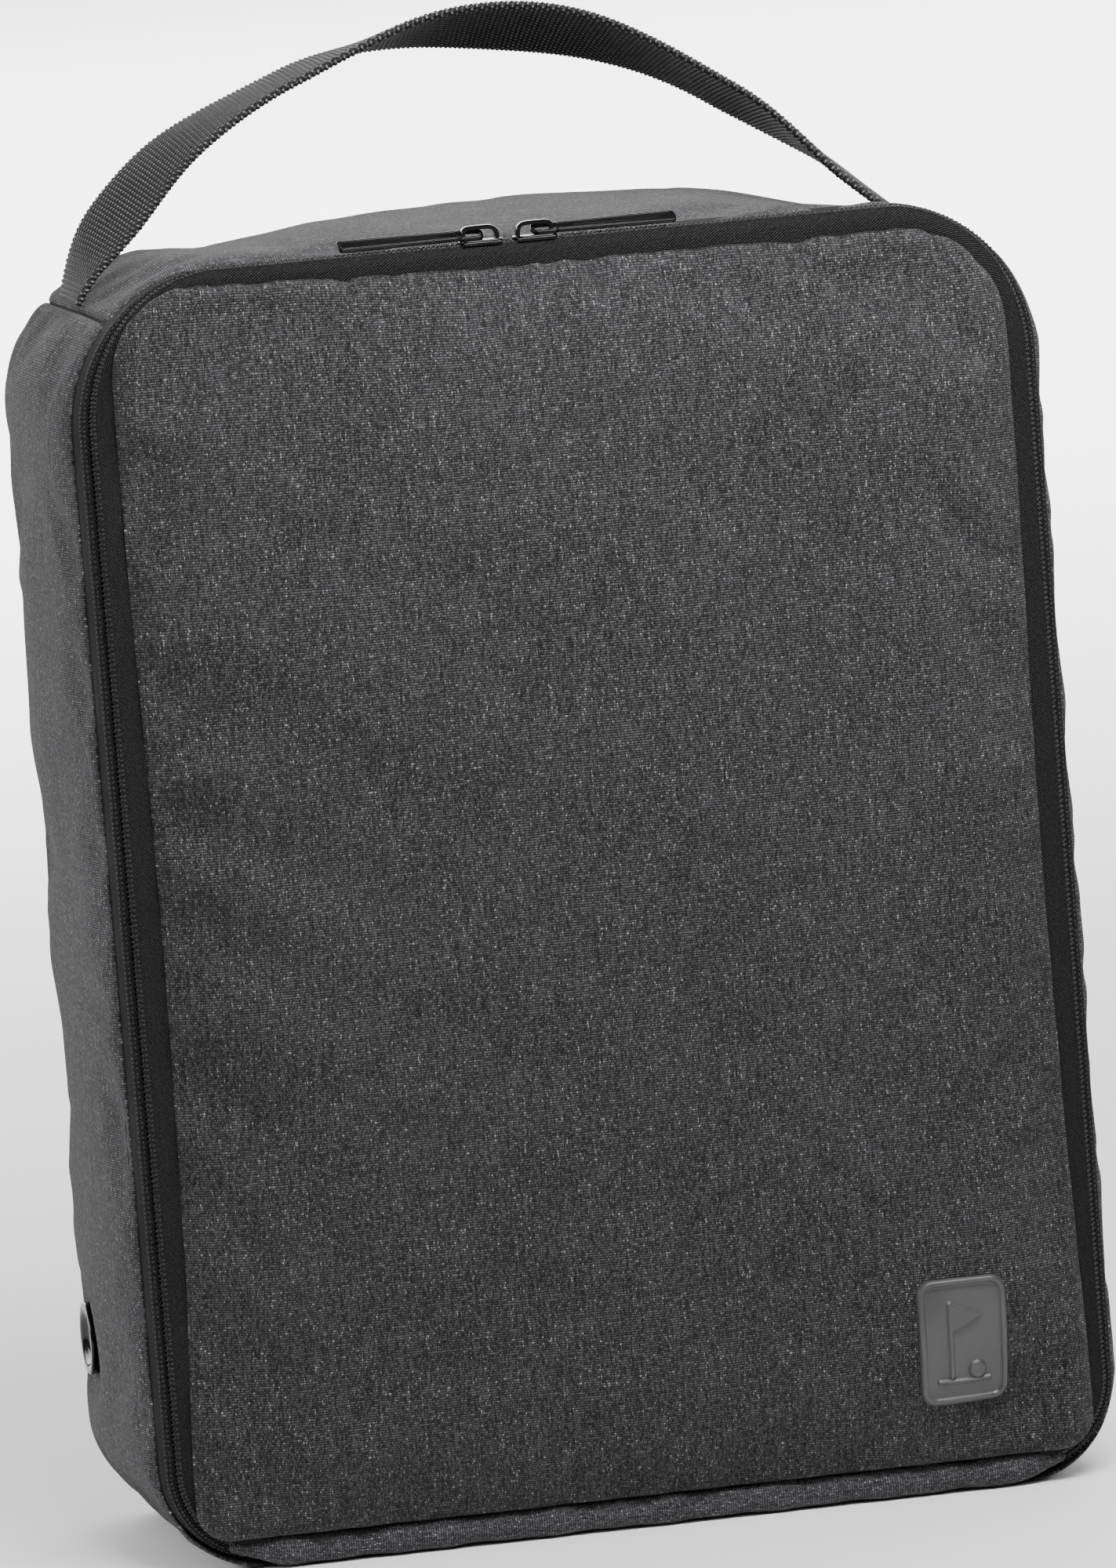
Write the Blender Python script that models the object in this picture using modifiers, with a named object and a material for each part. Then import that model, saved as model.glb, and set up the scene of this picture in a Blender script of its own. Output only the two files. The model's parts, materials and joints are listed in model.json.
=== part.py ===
"""Golf shoe bag: an upright padded bag whose whole front unzips along three sides and folds down.

Units are metres. +X is to the right, +Y to the back, +Z up, and the origin is on the floor under the
middle of the bag. Every band that runs round the bag follows one rounded outline, the rim.
"""

from math import cos, pi, radians, sin

import bmesh
import bpy
import numpy as np
from mathutils import Matrix, Vector

# Overall size
WIDTH = 0.266
HEIGHT = 0.350
FRONT = -0.060
BACK = 0.062
HIGH_RADIUS = 0.042
LOW_RADIUS = 0.028
LEAST_RADIUS = 0.002
ARC_STEPS = 8

# Wall build-up
GAP = 0.0003
SEAM_SLACK = 0.0002
FABRIC = 0.0009
BINDING_WIDTH = 0.0060
FOAM = 0.0030
PANEL_FOAM = 0.0040
LINING = 0.0007
FOAM_INSET = FABRIC + GAP
LINING_INSET = FOAM_INSET + FOAM + GAP
INNER_INSET = LINING_INSET + LINING + GAP
BACK_FOAM_FACE = BACK - FABRIC - GAP
BACK_LINING_FACE = BACK_FOAM_FACE - PANEL_FOAM - GAP
BOTTOM_FRONT = FRONT + 0.0090
FOAM_FRONT = FRONT + 0.0240
LINING_FRONT = FRONT + 0.0220

# Zipper: reversed coil, so the coils lie under the tapes. Pairs are (inset, depth behind the front).
TAPE = 0.0006
COIL_WIDTH = 0.0022
COIL_HEIGHT = 0.0016
ZIP_LINE = 0.0070
GUSSET_EDGE_SIDE = 0.0128
GUSSET_EDGE_TOP = 0.0165
OUTER_TAPE_SIDE = ((0.0046, 0.0054), (0.0013, 0.0118), (0.0013, 0.0165))
OUTER_TAPE_TOP = ((0.0008, 0.0076), (0.0008, 0.0140), (0.0013, 0.0205))
INNER_TAPE_SIDE = ((0.0120, 0.00145), (0.0084, 0.0026), (0.0056, 0.0044))
INNER_TAPE_TOP = ((0.0105, 0.00145), (0.0008, 0.0029), (0.0008, 0.0064))
OUTER_ZIP_END = 0.34
INNER_ZIP_END = 0.46

# Front flap
FLAP_INSET_SIDE = 0.0095
FLAP_INSET_TOP = 0.0080
FLAP_BULGE = 0.0060
BULGE_REACH = 0.044
FLAP_FOAM_INSET = 0.0140
FLAP_HINGE_Y = FRONT + FABRIC / 2
FLAP_HINGE_Z = FLAP_INSET_SIDE - SEAM_SLACK

# Welt: the roll of gusset fabric under the flap
WELT_RADIUS = 0.0042
WELT_HALF_LENGTH = 0.108
WELT_END_SCALE = 0.35

# Carrying handle of flat webbing, as (x, z) points of its middle line and its twist along the way
WEBBING_WIDTH = 0.025
WEBBING = 0.0022
HANDLE_Y = 0.002
HANDLE_HINGE_Z = 0.361
HANDLE_LINE = ((-0.1224, 0.3400), (-0.1170, 0.3505), (-0.1077, 0.3620), (-0.0903, 0.3786),
               (-0.0660, 0.3918), (-0.0415, 0.4006), (-0.0150, 0.4048), (0.0150, 0.4020),
               (0.0400, 0.3934), (0.0650, 0.3790), (0.0860, 0.3635), (0.0985, 0.3540),
               (0.1100, 0.3482), (0.1190, 0.3415))
HANDLE_TWIST = ((0.0, 2.0), (0.16, 34.0), (0.33, 4.0), (0.52, -33.0),
                (0.68, -14.0), (0.80, 6.0), (1.0, 2.0))
HANDLE_NUDGE = 0.002
LEFT_END_STOP = 0.097
RIGHT_END_START = 0.818
HANDLE_GAP = 0.036

# Eyelets, one low down near the back of each side
EYELET_Y = 0.041
EYELET_Z = 0.0522
EYELET_RADIUS = 0.0100
EYELET_HOLE = 0.0050
EYELET_BARREL = 0.0062
EYELET_PROUD = 0.0026
EYELET_SHOULDER = 0.0008
EYELET_EDGE_SHARE = 0.6
EYELET_STEPS = 32
WASHER = 0.0010
WASHER_RADIUS = 0.0080

# Zip sliders and their pulls
LEFT_SLIDER_X = -0.0187
RIGHT_SLIDER_X = -0.0039
SLIDER_LENGTH = 0.0120
PLATE = 0.0010
TOP_PLATE_WIDTH = 0.0086
LOW_PLATE_WIDTH = 0.0064
TOP_PLATE_Z = HEIGHT - SEAM_SLACK
LOW_PLATE_Z = HEIGHT - 0.0047
POST_WIDTH = 0.0005
POST_LENGTH = 0.0040
BRIDGE_LENGTH = 0.0095
BRIDGE_RISE = 0.0037
BRIDGE_WIDTH = 0.0024
BRIDGE_BAND = 0.0010
BRIDGE_CORNER = 0.0018
PULL_PIN_Z = TOP_PLATE_Z + PLATE + 0.0013
PULL_LENGTH = 0.0385
PULL_WIDTH = 0.0052
PULL_THICKNESS = 0.0013
PULL_SLOT_WIDTH = 0.0033
PULL_SLOT_END = 0.0060
PULL_BAR = 0.0006

# Rubber badge on the flap
BADGE_X = 0.087
BADGE_Z = 0.043
BADGE_WIDTH = 0.025
BADGE_HEIGHT = 0.035
BADGE_THICKNESS = 0.0016
BADGE_CORNER = 0.005

# Stiff board on the floor of the bag
BOARD_WIDTH = 0.206
BOARD_DEPTH = 0.090
BOARD_Y = -0.0015
BOARD_THICKNESS = 0.0020
BOARD_CORNER = 0.012

CHARCOAL = (0.060, 0.059, 0.064)
CHARCOAL_DARK = (0.040, 0.039, 0.043)
BLACK_TAPE = (0.012, 0.012, 0.013)
GLOSS_BLACK = (0.010, 0.010, 0.011)
FOAM_WHITE = (0.62, 0.60, 0.55)
LINING_GREY = (0.030, 0.030, 0.032)
BADGE_GREY = (0.085, 0.085, 0.090)


def clear_scene():
    for obj in list(bpy.data.objects):
        bpy.data.objects.remove(obj, do_unlink=True)


def new_collection(name):
    collection = bpy.data.collections.new(name)
    bpy.context.scene.collection.children.link(collection)
    return collection


def principled(name, colour, roughness, metallic=0.0):
    material = bpy.data.materials.get(name)
    if material is None:
        material = bpy.data.materials.new(name)
        material.use_nodes = True
        shader = material.node_tree.nodes["Principled BSDF"]
        shader.inputs["Base Color"].default_value = (*colour, 1.0)
        shader.inputs["Roughness"].default_value = roughness
        shader.inputs["Metallic"].default_value = metallic
    return material


def add_object(name, data, material, collection):
    obj = bpy.data.objects.new(name, data)
    collection.objects.link(obj)
    if material is not None:
        data.materials.append(material)
    return obj


def mesh_object(name, bm, material, collection):
    mesh = bpy.data.meshes.new(name)
    bm.to_mesh(mesh)
    bm.free()
    return add_object(name, mesh, material, collection)


def smooth_round(obj):
    obj.data.shade_smooth()
    obj.data.set_sharp_from_angle(angle=radians(35))


def joint_empty(name, location, collection):
    """An empty on a joint's axis, which the joint's moving pieces hang from."""
    empty = add_object(name, None, None, collection)
    empty.empty_display_size = 0.02
    empty.location = location
    return empty


def hang_from(empty, pieces):
    for piece in pieces:
        piece.parent = empty
        piece.matrix_parent_inverse = Matrix.Translation(empty.location).inverted()


def bake_modifiers(obj):
    """Replaces the object's data with its evaluated mesh, for a curve or a piece that a Boolean uses."""
    bpy.context.view_layer.update()
    evaluated = obj.evaluated_get(bpy.context.evaluated_depsgraph_get())
    mesh = bpy.data.meshes.new_from_object(evaluated)
    bm = bmesh.new()
    bm.from_mesh(mesh)
    bmesh.ops.remove_doubles(bm, verts=bm.verts, dist=1e-6)
    bm.to_mesh(mesh)
    bm.free()
    baked = bpy.data.objects.new(obj.name + "_mesh", mesh)
    baked.matrix_world = obj.matrix_world.copy()
    for collection in obj.users_collection:
        collection.objects.link(baked)
    name = obj.name
    bpy.data.objects.remove(obj, do_unlink=True)
    baked.name = name
    return baked


def boolean(obj, tool, operation):
    modifier = obj.modifiers.new(tool.name, "BOOLEAN")
    modifier.operation = operation
    modifier.solver = "EXACT"
    modifier.object = tool
    tool.hide_render = True
    tool.display_type = "WIRE"


# The rim


def smoothstep(t):
    t = min(max(t, 0.0), 1.0)
    return t * t * (3 - 2 * t)


def rim_point(s, inset):
    """x and z of the rim, moved inwards by inset.

    s runs clockwise seen from the front, one unit for each stretch: low left arc, left side, high left
    arc, top, high right arc, right side, low right arc, floor.
    """
    low = max(LOW_RADIUS - inset, LEAST_RADIUS)
    high = max(HIGH_RADIUS - inset, LEAST_RADIUS)
    side = WIDTH / 2 - inset
    roof = HEIGHT - inset
    if s > 7:
        return (side - low) * (1 - 2 * (s - 7)), inset
    if s > 3.5:
        x, z = rim_point(7 - s, inset)
        return -x, z
    if s < 1:
        angle = pi * (1.5 - 0.5 * s)
        return -side + low + low * cos(angle), inset + low + low * sin(angle)
    if s < 2:
        return -side, inset + low + (roof - high - inset - low) * (s - 1)
    if s < 3:
        angle = pi * (1.0 - 0.5 * (s - 2))
        return -side + high + high * cos(angle), roof - high + high * sin(angle)
    return (-side + high) * (1 - 2 * (s - 3)), roof


def top_share(s):
    """0 on the sides and the floor, 1 on the top, with a smooth change round the high arcs."""
    return smoothstep(min(s, 7 - s) - 2) if s <= 7 else 0.0


def stations(start, stop):
    """Values of s from start to stop: several on each arc, and only the ends of each straight run."""
    marks = {float(start), float(stop)}
    for stretch in range(8):
        steps = ARC_STEPS if stretch % 2 == 0 else 1
        marks.update(stretch + step / steps for step in range(steps))
    return sorted(mark for mark in marks if start <= mark <= stop)


def skin(loops, closed_ends):
    """A bmesh of quads between matching loops of points, with a cap at each end or joined end to end."""
    bm = bmesh.new()
    rings = [[bm.verts.new(point) for point in loop] for loop in loops]
    pairs = list(zip(rings, rings[1:]))
    if closed_ends:
        bm.faces.new(rings[0])
        bm.faces.new(reversed(rings[-1]))
    else:
        pairs.append((rings[-1], rings[0]))
    for near, far in pairs:
        for index in range(len(near)):
            after = (index + 1) % len(near)
            bm.faces.new((near[index], near[after], far[after], far[index]))
    bmesh.ops.recalc_face_normals(bm, faces=bm.faces)
    return bm


def thicken(profile, thickness):
    """A closed section from an open profile of (inset, y) pairs, front to back, thickened inwards."""
    points = [Vector(pair) for pair in profile]
    inner = []
    for index, point in enumerate(points):
        run = points[min(index + 1, len(points) - 1)] - points[max(index - 1, 0)]
        run.normalize()
        inner.append(point + Vector((run.y, -run.x)) * thickness)
    return [tuple(point) for point in points + inner[::-1]]


def band(name, span, side_profile, top_profile, thickness, material, collection):
    """A strip of cloth along the rim, thickened inwards.

    A profile is (inset, y) pairs from front to back. The section changes from the side profile to the
    top profile round the high arcs. A span of the whole rim closes into a ring.
    """
    side = np.array(thicken(side_profile, thickness))
    top = np.array(thicken(top_profile, thickness))
    whole = span == (0, 8)
    loops = []
    for s in stations(*span)[:-1 if whole else None]:
        loop = []
        for inset, y in side + (top - side) * top_share(s):
            x, z = rim_point(s, inset)
            loop.append((x, y, z))
        loops.append(loop)
    return mesh_object(name, skin(loops, not whole), material, collection)


def flat_band(name, span, inset, front_side, front_top, back, thickness, material, collection):
    """A band at one inset, from its front edge to a straight back edge."""
    side = ((inset, front_side), (inset, back))
    top = ((inset, front_top), (inset, back))
    return band(name, span, side, top, thickness, material, collection)


def behind_front(pairs):
    return tuple((inset, FRONT + depth) for inset, depth in pairs)


def pad(name, rings, material, collection):
    """A closed solid lofted through rings of the rim's shape, and capped at both ends.

    A ring is (inset at the sides, inset at the top, y).
    """
    loops = []
    for side_inset, top_inset, y in rings:
        loop = []
        for s in stations(0, 8)[:-1]:
            x, z = rim_point(s, side_inset + (top_inset - side_inset) * top_share(s))
            loop.append((x, y, z))
        loops.append(loop)
    return mesh_object(name, skin(loops, True), material, collection)


def rounded_plate(name, width, height, corner, thickness, material, collection):
    """A flat plate with round corners, centred on its own origin, in its local XY plane."""
    curve = bpy.data.curves.new(name, "CURVE")
    curve.dimensions = "2D"
    curve.fill_mode = "BOTH"
    curve.extrude = thickness / 2
    points = []
    for quarter in range(4):
        start = quarter * pi / 2
        x = (width / 2 - corner) * (1 if quarter in (0, 3) else -1)
        y = (height / 2 - corner) * (1 if quarter in (0, 1) else -1)
        for step in range(6):
            angle = start + step / 5 * pi / 2
            points.append((x + corner * cos(angle), y + corner * sin(angle)))
    spline = curve.splines.new("POLY")
    spline.points.add(len(points) - 1)
    for point, (x, y) in zip(spline.points, points):
        point.co = (x, y, 0.0, 1.0)
    spline.use_cyclic_u = True
    return bake_modifiers(add_object(name, curve, material, collection))


def block(name, size, location, material, collection, bevel=0.0):
    """A box with softened edges."""
    bm = bmesh.new()
    bmesh.ops.create_cube(bm, size=1.0, matrix=Matrix.Diagonal((*size, 1.0)))
    if bevel:
        bmesh.ops.bevel(bm, geom=bm.edges, offset=bevel, segments=2, affect="EDGES", profile=0.5)
    obj = mesh_object(name, bm, material, collection)
    obj.location = location
    return obj


# Cloth walls


def build_gusset(parts):
    """The side, top and floor walls: cover cloth, foam and lining, split at the shoulder seams."""
    cover = principled("gusset_cloth", CHARCOAL, 0.9)
    foam = principled("foam", FOAM_WHITE, 0.95)
    lining = principled("lining_cloth", LINING_GREY, 0.85)
    shoulder_gap = GAP / (HIGH_RADIUS * pi / 2)
    floor_gap = GAP / (WIDTH - 2 * LOW_RADIUS)
    spans = {
        "side_{}_left": (0.0, 2.5 - shoulder_gap),
        "side_{}_right": (4.5 + shoulder_gap, 7.0),
        "top_{}": (2.5, 4.5),
        "floor_{}": (7.0 + floor_gap, 8.0 - floor_gap),
    }
    edge_side = FRONT + GUSSET_EDGE_SIDE
    edge_top = FRONT + GUSSET_EDGE_TOP
    for label, span in spans.items():
        front = BOTTOM_FRONT if label.startswith("floor") else edge_side
        back = BACK_FOAM_FACE
        flat_band(label.format("panel"), span, 0.0, front, edge_top, back, FABRIC, cover, parts)
        flat_band(label.format("foam"), span, FOAM_INSET, FOAM_FRONT, FOAM_FRONT, back, FOAM, foam, parts)
        flat_band(label.format("lining"), span, LINING_INSET, LINING_FRONT, LINING_FRONT,
                  BACK_LINING_FACE - LINING - GAP, LINING, lining, parts)


def build_back(parts):
    edge = FABRIC / 3
    cover = principled("back_cloth", CHARCOAL, 0.9)
    pad("back_panel", ((edge, edge, BACK - FABRIC), (0.0, 0.0, BACK - FABRIC + edge),
                       (0.0, 0.0, BACK - edge), (edge, edge, BACK)), cover, parts)
    pad("back_foam", ((LINING_INSET, LINING_INSET, BACK_FOAM_FACE - PANEL_FOAM),
                      (LINING_INSET, LINING_INSET, BACK_FOAM_FACE)),
        principled("foam", FOAM_WHITE, 0.95), parts)
    pad("back_lining", ((INNER_INSET, INNER_INSET, BACK_LINING_FACE - LINING),
                        (INNER_INSET, INNER_INSET, BACK_LINING_FACE)),
        principled("lining_cloth", LINING_GREY, 0.85), parts)


def build_bindings(parts):
    """Tapes folded over the inside seams: round the back, round the mouth, and round the flap."""
    binding = principled("binding_tape", BLACK_TAPE, 0.8)
    rear_edge = BACK_LINING_FACE - LINING - GAP
    rear = ((INNER_INSET, rear_edge - BINDING_WIDTH), (INNER_INSET, rear_edge))
    band("rear_seam_binding", (0, 8), rear, rear, FABRIC, binding, parts)
    mouth = ((INNER_INSET, LINING_FRONT), (INNER_INSET, LINING_FRONT + BINDING_WIDTH))
    band("mouth_seam_binding", (0.6, 6.4), mouth, mouth, FABRIC, binding, parts)


def build_board(parts):
    board = rounded_plate("base_board", BOARD_WIDTH, BOARD_DEPTH, BOARD_CORNER, BOARD_THICKNESS,
                          principled("board", (0.02, 0.02, 0.02), 0.6), parts)
    board.location = (0.0, BOARD_Y, INNER_INSET + BOARD_THICKNESS / 2)


def build_welt(parts):
    """The roll of gusset cloth that the flap's lower seam is sewn to, thin at both ends."""
    curve = bpy.data.curves.new("front_welt", "CURVE")
    curve.dimensions = "3D"
    curve.bevel_depth = WELT_RADIUS
    curve.bevel_resolution = 3
    curve.use_fill_caps = True
    shares = (-1.0, -0.94, -0.85, 0.85, 0.94, 1.0)
    scales = (WELT_END_SCALE, 0.75, 1.0, 1.0, 0.75, WELT_END_SCALE)
    spline = curve.splines.new("POLY")
    spline.points.add(len(shares) - 1)
    for point, share, scale in zip(spline.points, shares, scales):
        point.co = (share * WELT_HALF_LENGTH, FRONT + WELT_RADIUS + SEAM_SLACK, WELT_RADIUS + GAP, 1.0)
        point.radius = scale
    add_object("front_welt", curve, principled("gusset_cloth", CHARCOAL, 0.9), parts)


# Zipper


def zipper_half(side, profile_side, profile_top, coil_end, zip_end, parts):
    """One tape and the coil under its free edge. coil_end is the profile's index at that edge."""
    span = (zip_end, 7 - zip_end)
    tape = band("zipper_tape_" + side, span, behind_front(profile_side), behind_front(profile_top), TAPE,
                principled("zipper_tape", BLACK_TAPE, 0.85), parts)
    coil_rows = []
    for profile in (behind_front(profile_side), behind_front(profile_top)):
        edge = Vector(profile[coil_end])
        along = (Vector(profile[1]) - edge).normalized()
        inwards = Vector((abs(along.y), abs(along.x)))
        start = edge + inwards * (TAPE + GAP)
        ends = (start, start + along * COIL_WIDTH)
        coil_rows.append(tuple(tuple(end) for end in sorted(ends, key=lambda end: end.y)))
    coil = band("zipper_coil_" + side, span, coil_rows[0], coil_rows[1], COIL_HEIGHT,
                principled("zipper_coil", GLOSS_BLACK, 0.4), parts)
    return [tape, coil]


def build_slider(label, x, cutters, parts):
    """A slider: two plates joined by a post between the coils, with a bridge for the pull on top."""
    y = FRONT + ZIP_LINE
    metal = principled("black_metal", GLOSS_BLACK, 0.25, 0.6)
    name = "slider_" + label
    body = block(name, (SLIDER_LENGTH, TOP_PLATE_WIDTH, PLATE), (x, y, TOP_PLATE_Z + PLATE / 2),
                 metal, parts, bevel=PLATE / 4)
    low = block(name + "_low_plate", (SLIDER_LENGTH, LOW_PLATE_WIDTH, PLATE),
                (x, y, LOW_PLATE_Z + PLATE / 2), None, cutters)
    post_height = TOP_PLATE_Z - LOW_PLATE_Z
    post = block(name + "_post", (POST_LENGTH, POST_WIDTH, post_height),
                 (x, y, LOW_PLATE_Z + PLATE / 2 + post_height / 2), None, cutters)
    bridge = build_bridge(name + "_bridge", (x, y, TOP_PLATE_Z + PLATE / 2), cutters)
    for tool in (post, low, bridge):
        boolean(body, tool, "UNION")
    return body


def build_bridge(name, location, collection):
    """A flat band bent into an arch with round shoulders. Its feet stand inside the top plate."""
    half = BRIDGE_LENGTH / 2
    rise = BRIDGE_RISE + PLATE / 2
    profile = [(-half, 0.0)]
    for step in range(5):
        angle = pi - step / 4 * pi / 2
        profile.append((-half + BRIDGE_CORNER + BRIDGE_CORNER * cos(angle),
                        rise - BRIDGE_CORNER + BRIDGE_CORNER * sin(angle)))
    profile += [(-px, pz) for px, pz in reversed(profile)]
    bm = bmesh.new()
    bmesh.ops.create_grid(bm, x_segments=len(profile) - 1, y_segments=1, size=1.0)
    for vert in bm.verts:
        px, pz = profile[round((vert.co.x + 1) / 2 * (len(profile) - 1))]
        vert.co = (px, vert.co.y * BRIDGE_WIDTH / 2, pz)
    bridge = mesh_object(name, bm, None, collection)
    bridge.location = location
    solidify = bridge.modifiers.new("thickness", "SOLIDIFY")
    solidify.thickness = BRIDGE_BAND
    solidify.offset = -1.0
    solidify.use_even_offset = True
    return bake_modifiers(bridge)


def build_pull(label, x, direction, cutters, parts):
    """A long flat pull, slotted at its inner end so that it loops round the slider's bridge."""
    name = "pull_" + label
    y = FRONT + ZIP_LINE
    middle = (PULL_LENGTH - PULL_BAR) / 2
    pull = block(name, (PULL_LENGTH + PULL_BAR, PULL_WIDTH, PULL_THICKNESS),
                 (x + direction * middle, y, PULL_PIN_Z),
                 principled("black_metal", GLOSS_BLACK, 0.25, 0.6), parts, bevel=PULL_THICKNESS / 4)
    slot_middle = (PULL_BAR + PULL_SLOT_END) / 2
    slot = block(name + "_slot", (PULL_SLOT_END - PULL_BAR, PULL_SLOT_WIDTH, 4 * PULL_THICKNESS),
                 (x + direction * slot_middle, y, PULL_PIN_Z), None, cutters)
    boolean(pull, slot, "DIFFERENCE")
    return pull


# Flap


def bulge(inset):
    """How far the padded flap stands forward at a distance in from its edge."""
    t = min(max((inset - FLAP_INSET_SIDE) / BULGE_REACH, 0.0), 1.0)
    return FLAP_BULGE * (1 - (1 - t) ** 2)


def flap_rings(first_inset, offset):
    """Rings of the flap's pillow from its edge inwards, moved back by offset."""
    shift = FLAP_INSET_TOP - FLAP_INSET_SIDE
    insets = [first_inset + (BULGE_REACH + FLAP_INSET_SIDE - first_inset) * share
              for share in (0.0, 0.1, 0.25, 0.45, 0.7, 1.0)]
    return [(inset, inset + shift, FRONT - bulge(inset) + offset) for inset in insets]


def build_flap(parts):
    front = flap_rings(FLAP_INSET_SIDE, 0.0)
    inner = flap_rings(FLAP_INSET_SIDE, FABRIC)
    panel = pad("front_panel", front[::-1] + inner, principled("front_cloth", CHARCOAL_DARK, 0.9), parts)
    foam_back = FRONT + FABRIC + GAP + PANEL_FOAM
    foam_front = flap_rings(FLAP_FOAM_INSET, FABRIC + GAP)
    foam = pad("front_foam", [(*foam_front[0][:2], foam_back)] + foam_front,
               principled("foam", FOAM_WHITE, 0.95), parts)
    inset = FLAP_FOAM_INSET
    lining_face = foam_back + GAP
    lining = pad("front_lining", ((inset, inset, lining_face), (inset, inset, lining_face + LINING)),
                 principled("lining_cloth", LINING_GREY, 0.85), parts)
    edge = lining_face + LINING + GAP
    profile = ((inset + BINDING_WIDTH, edge), (inset, edge))
    binding = band("flap_seam_binding", (0, 8), profile, profile, FABRIC,
                   principled("binding_tape", BLACK_TAPE, 0.8), parts)
    return [panel, foam, lining, binding]


def build_badge(parts):
    badge = rounded_plate("badge", BADGE_WIDTH, BADGE_HEIGHT, BADGE_CORNER, BADGE_THICKNESS,
                          principled("badge_rubber", BADGE_GREY, 0.45), parts)
    badge.rotation_euler = (pi / 2, 0.0, 0.0)
    badge.location = (BADGE_X, FRONT - FLAP_BULGE - GAP - BADGE_THICKNESS / 2, BADGE_Z)
    return badge


# Handle


def handle_centre(share):
    """A point of the handle's middle line: a Catmull-Rom curve through its points."""
    points = [Vector((x, HANDLE_Y, z)) for x, z in HANDLE_LINE]
    spans = len(points) - 1
    index = min(int(share * spans), spans - 1)
    t = share * spans - index
    before = points[max(index - 1, 0)]
    start = points[index]
    end = points[index + 1]
    after = points[min(index + 2, spans)]
    return 0.5 * (2 * start + (end - before) * t + (2 * before - 5 * start + 4 * end - after) * t ** 2
                  + (3 * start - before - 3 * end + after) * t ** 3)


def handle_twist(share):
    for (low, low_turn), (high, high_turn) in zip(HANDLE_TWIST, HANDLE_TWIST[1:]):
        if share <= high:
            return radians(low_turn + (high_turn - low_turn) * smoothstep((share - low) / (high - low)))
    return radians(HANDLE_TWIST[-1][1])


def webbing(name, start, stop, steps, parts):
    """A stretch of the flat, twisted handle webbing."""
    bm = bmesh.new()
    bmesh.ops.create_grid(bm, x_segments=steps, y_segments=2, size=1.0)
    for vert in bm.verts:
        share = start + (stop - start) * (vert.co.x + 1) / 2
        ahead = handle_centre(min(share + HANDLE_NUDGE, 1.0))
        run = ahead - handle_centre(max(share - HANDLE_NUDGE, 0.0))
        across = Matrix.Rotation(handle_twist(share), 3, run.normalized()) @ Vector((0, 1, 0))
        vert.co = handle_centre(share) + across * vert.co.y * WEBBING_WIDTH / 2
    obj = mesh_object(name, bm, principled("webbing", BLACK_TAPE, 0.8), parts)
    solidify = obj.modifiers.new("thickness", "SOLIDIFY")
    solidify.thickness = WEBBING
    solidify.offset = 0.0
    return obj


# Eyelets


def turned(name, profile, x, material, parts):
    """A ring turned from a closed profile of (radius, height) points, with its axis along X."""
    loops = []
    for step in range(EYELET_STEPS):
        angle = 2 * pi * step / EYELET_STEPS
        loops.append([(height, radius * cos(angle), radius * sin(angle)) for radius, height in profile])
    obj = mesh_object(name, skin(loops, False), material, parts)
    obj.location = (x, EYELET_Y, EYELET_Z)
    smooth_round(obj)
    return obj


def build_eyelet(label, side, cutters, parts):
    """A two-part metal eyelet through one side wall, with the hole that it is set in."""
    metal = principled("black_metal", GLOSS_BLACK, 0.25, 0.6)
    wall = WIDTH / 2
    out = side * GAP
    barrel_end = -side * (INNER_INSET + WASHER + GAP)
    crown = side * EYELET_PROUD
    profile = [(EYELET_HOLE, barrel_end), (EYELET_BARREL, barrel_end),
               (EYELET_BARREL, out), (EYELET_RADIUS, out),
               (EYELET_RADIUS, crown * EYELET_EDGE_SHARE), (EYELET_RADIUS - EYELET_SHOULDER, crown),
               (EYELET_HOLE + 2 * EYELET_SHOULDER, crown), (EYELET_HOLE, crown * EYELET_EDGE_SHARE)]
    eyelet = turned("eyelet_" + label, profile, side * wall, metal, parts)
    near = -side * INNER_INSET
    far = -side * (INNER_INSET + WASHER)
    bore = EYELET_BARREL + GAP
    washer = [(bore, near), (WASHER_RADIUS, near), (WASHER_RADIUS, far), (bore, far)]
    turned("eyelet_washer_" + label, washer, side * wall, metal, parts)
    bm = bmesh.new()
    bmesh.ops.create_cone(bm, cap_ends=True, segments=EYELET_STEPS, radius1=bore, radius2=bore,
                          depth=4 * LINING_INSET, matrix=Matrix.Rotation(pi / 2, 4, "Y"))
    cutter = mesh_object("eyelet_hole_" + label, bm, None, cutters)
    cutter.location = (side * wall, EYELET_Y, EYELET_Z)
    for layer in ("panel", "foam", "lining"):
        boolean(bpy.data.objects[f"side_{layer}_{label}"], cutter, "DIFFERENCE")
    return eyelet


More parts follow.
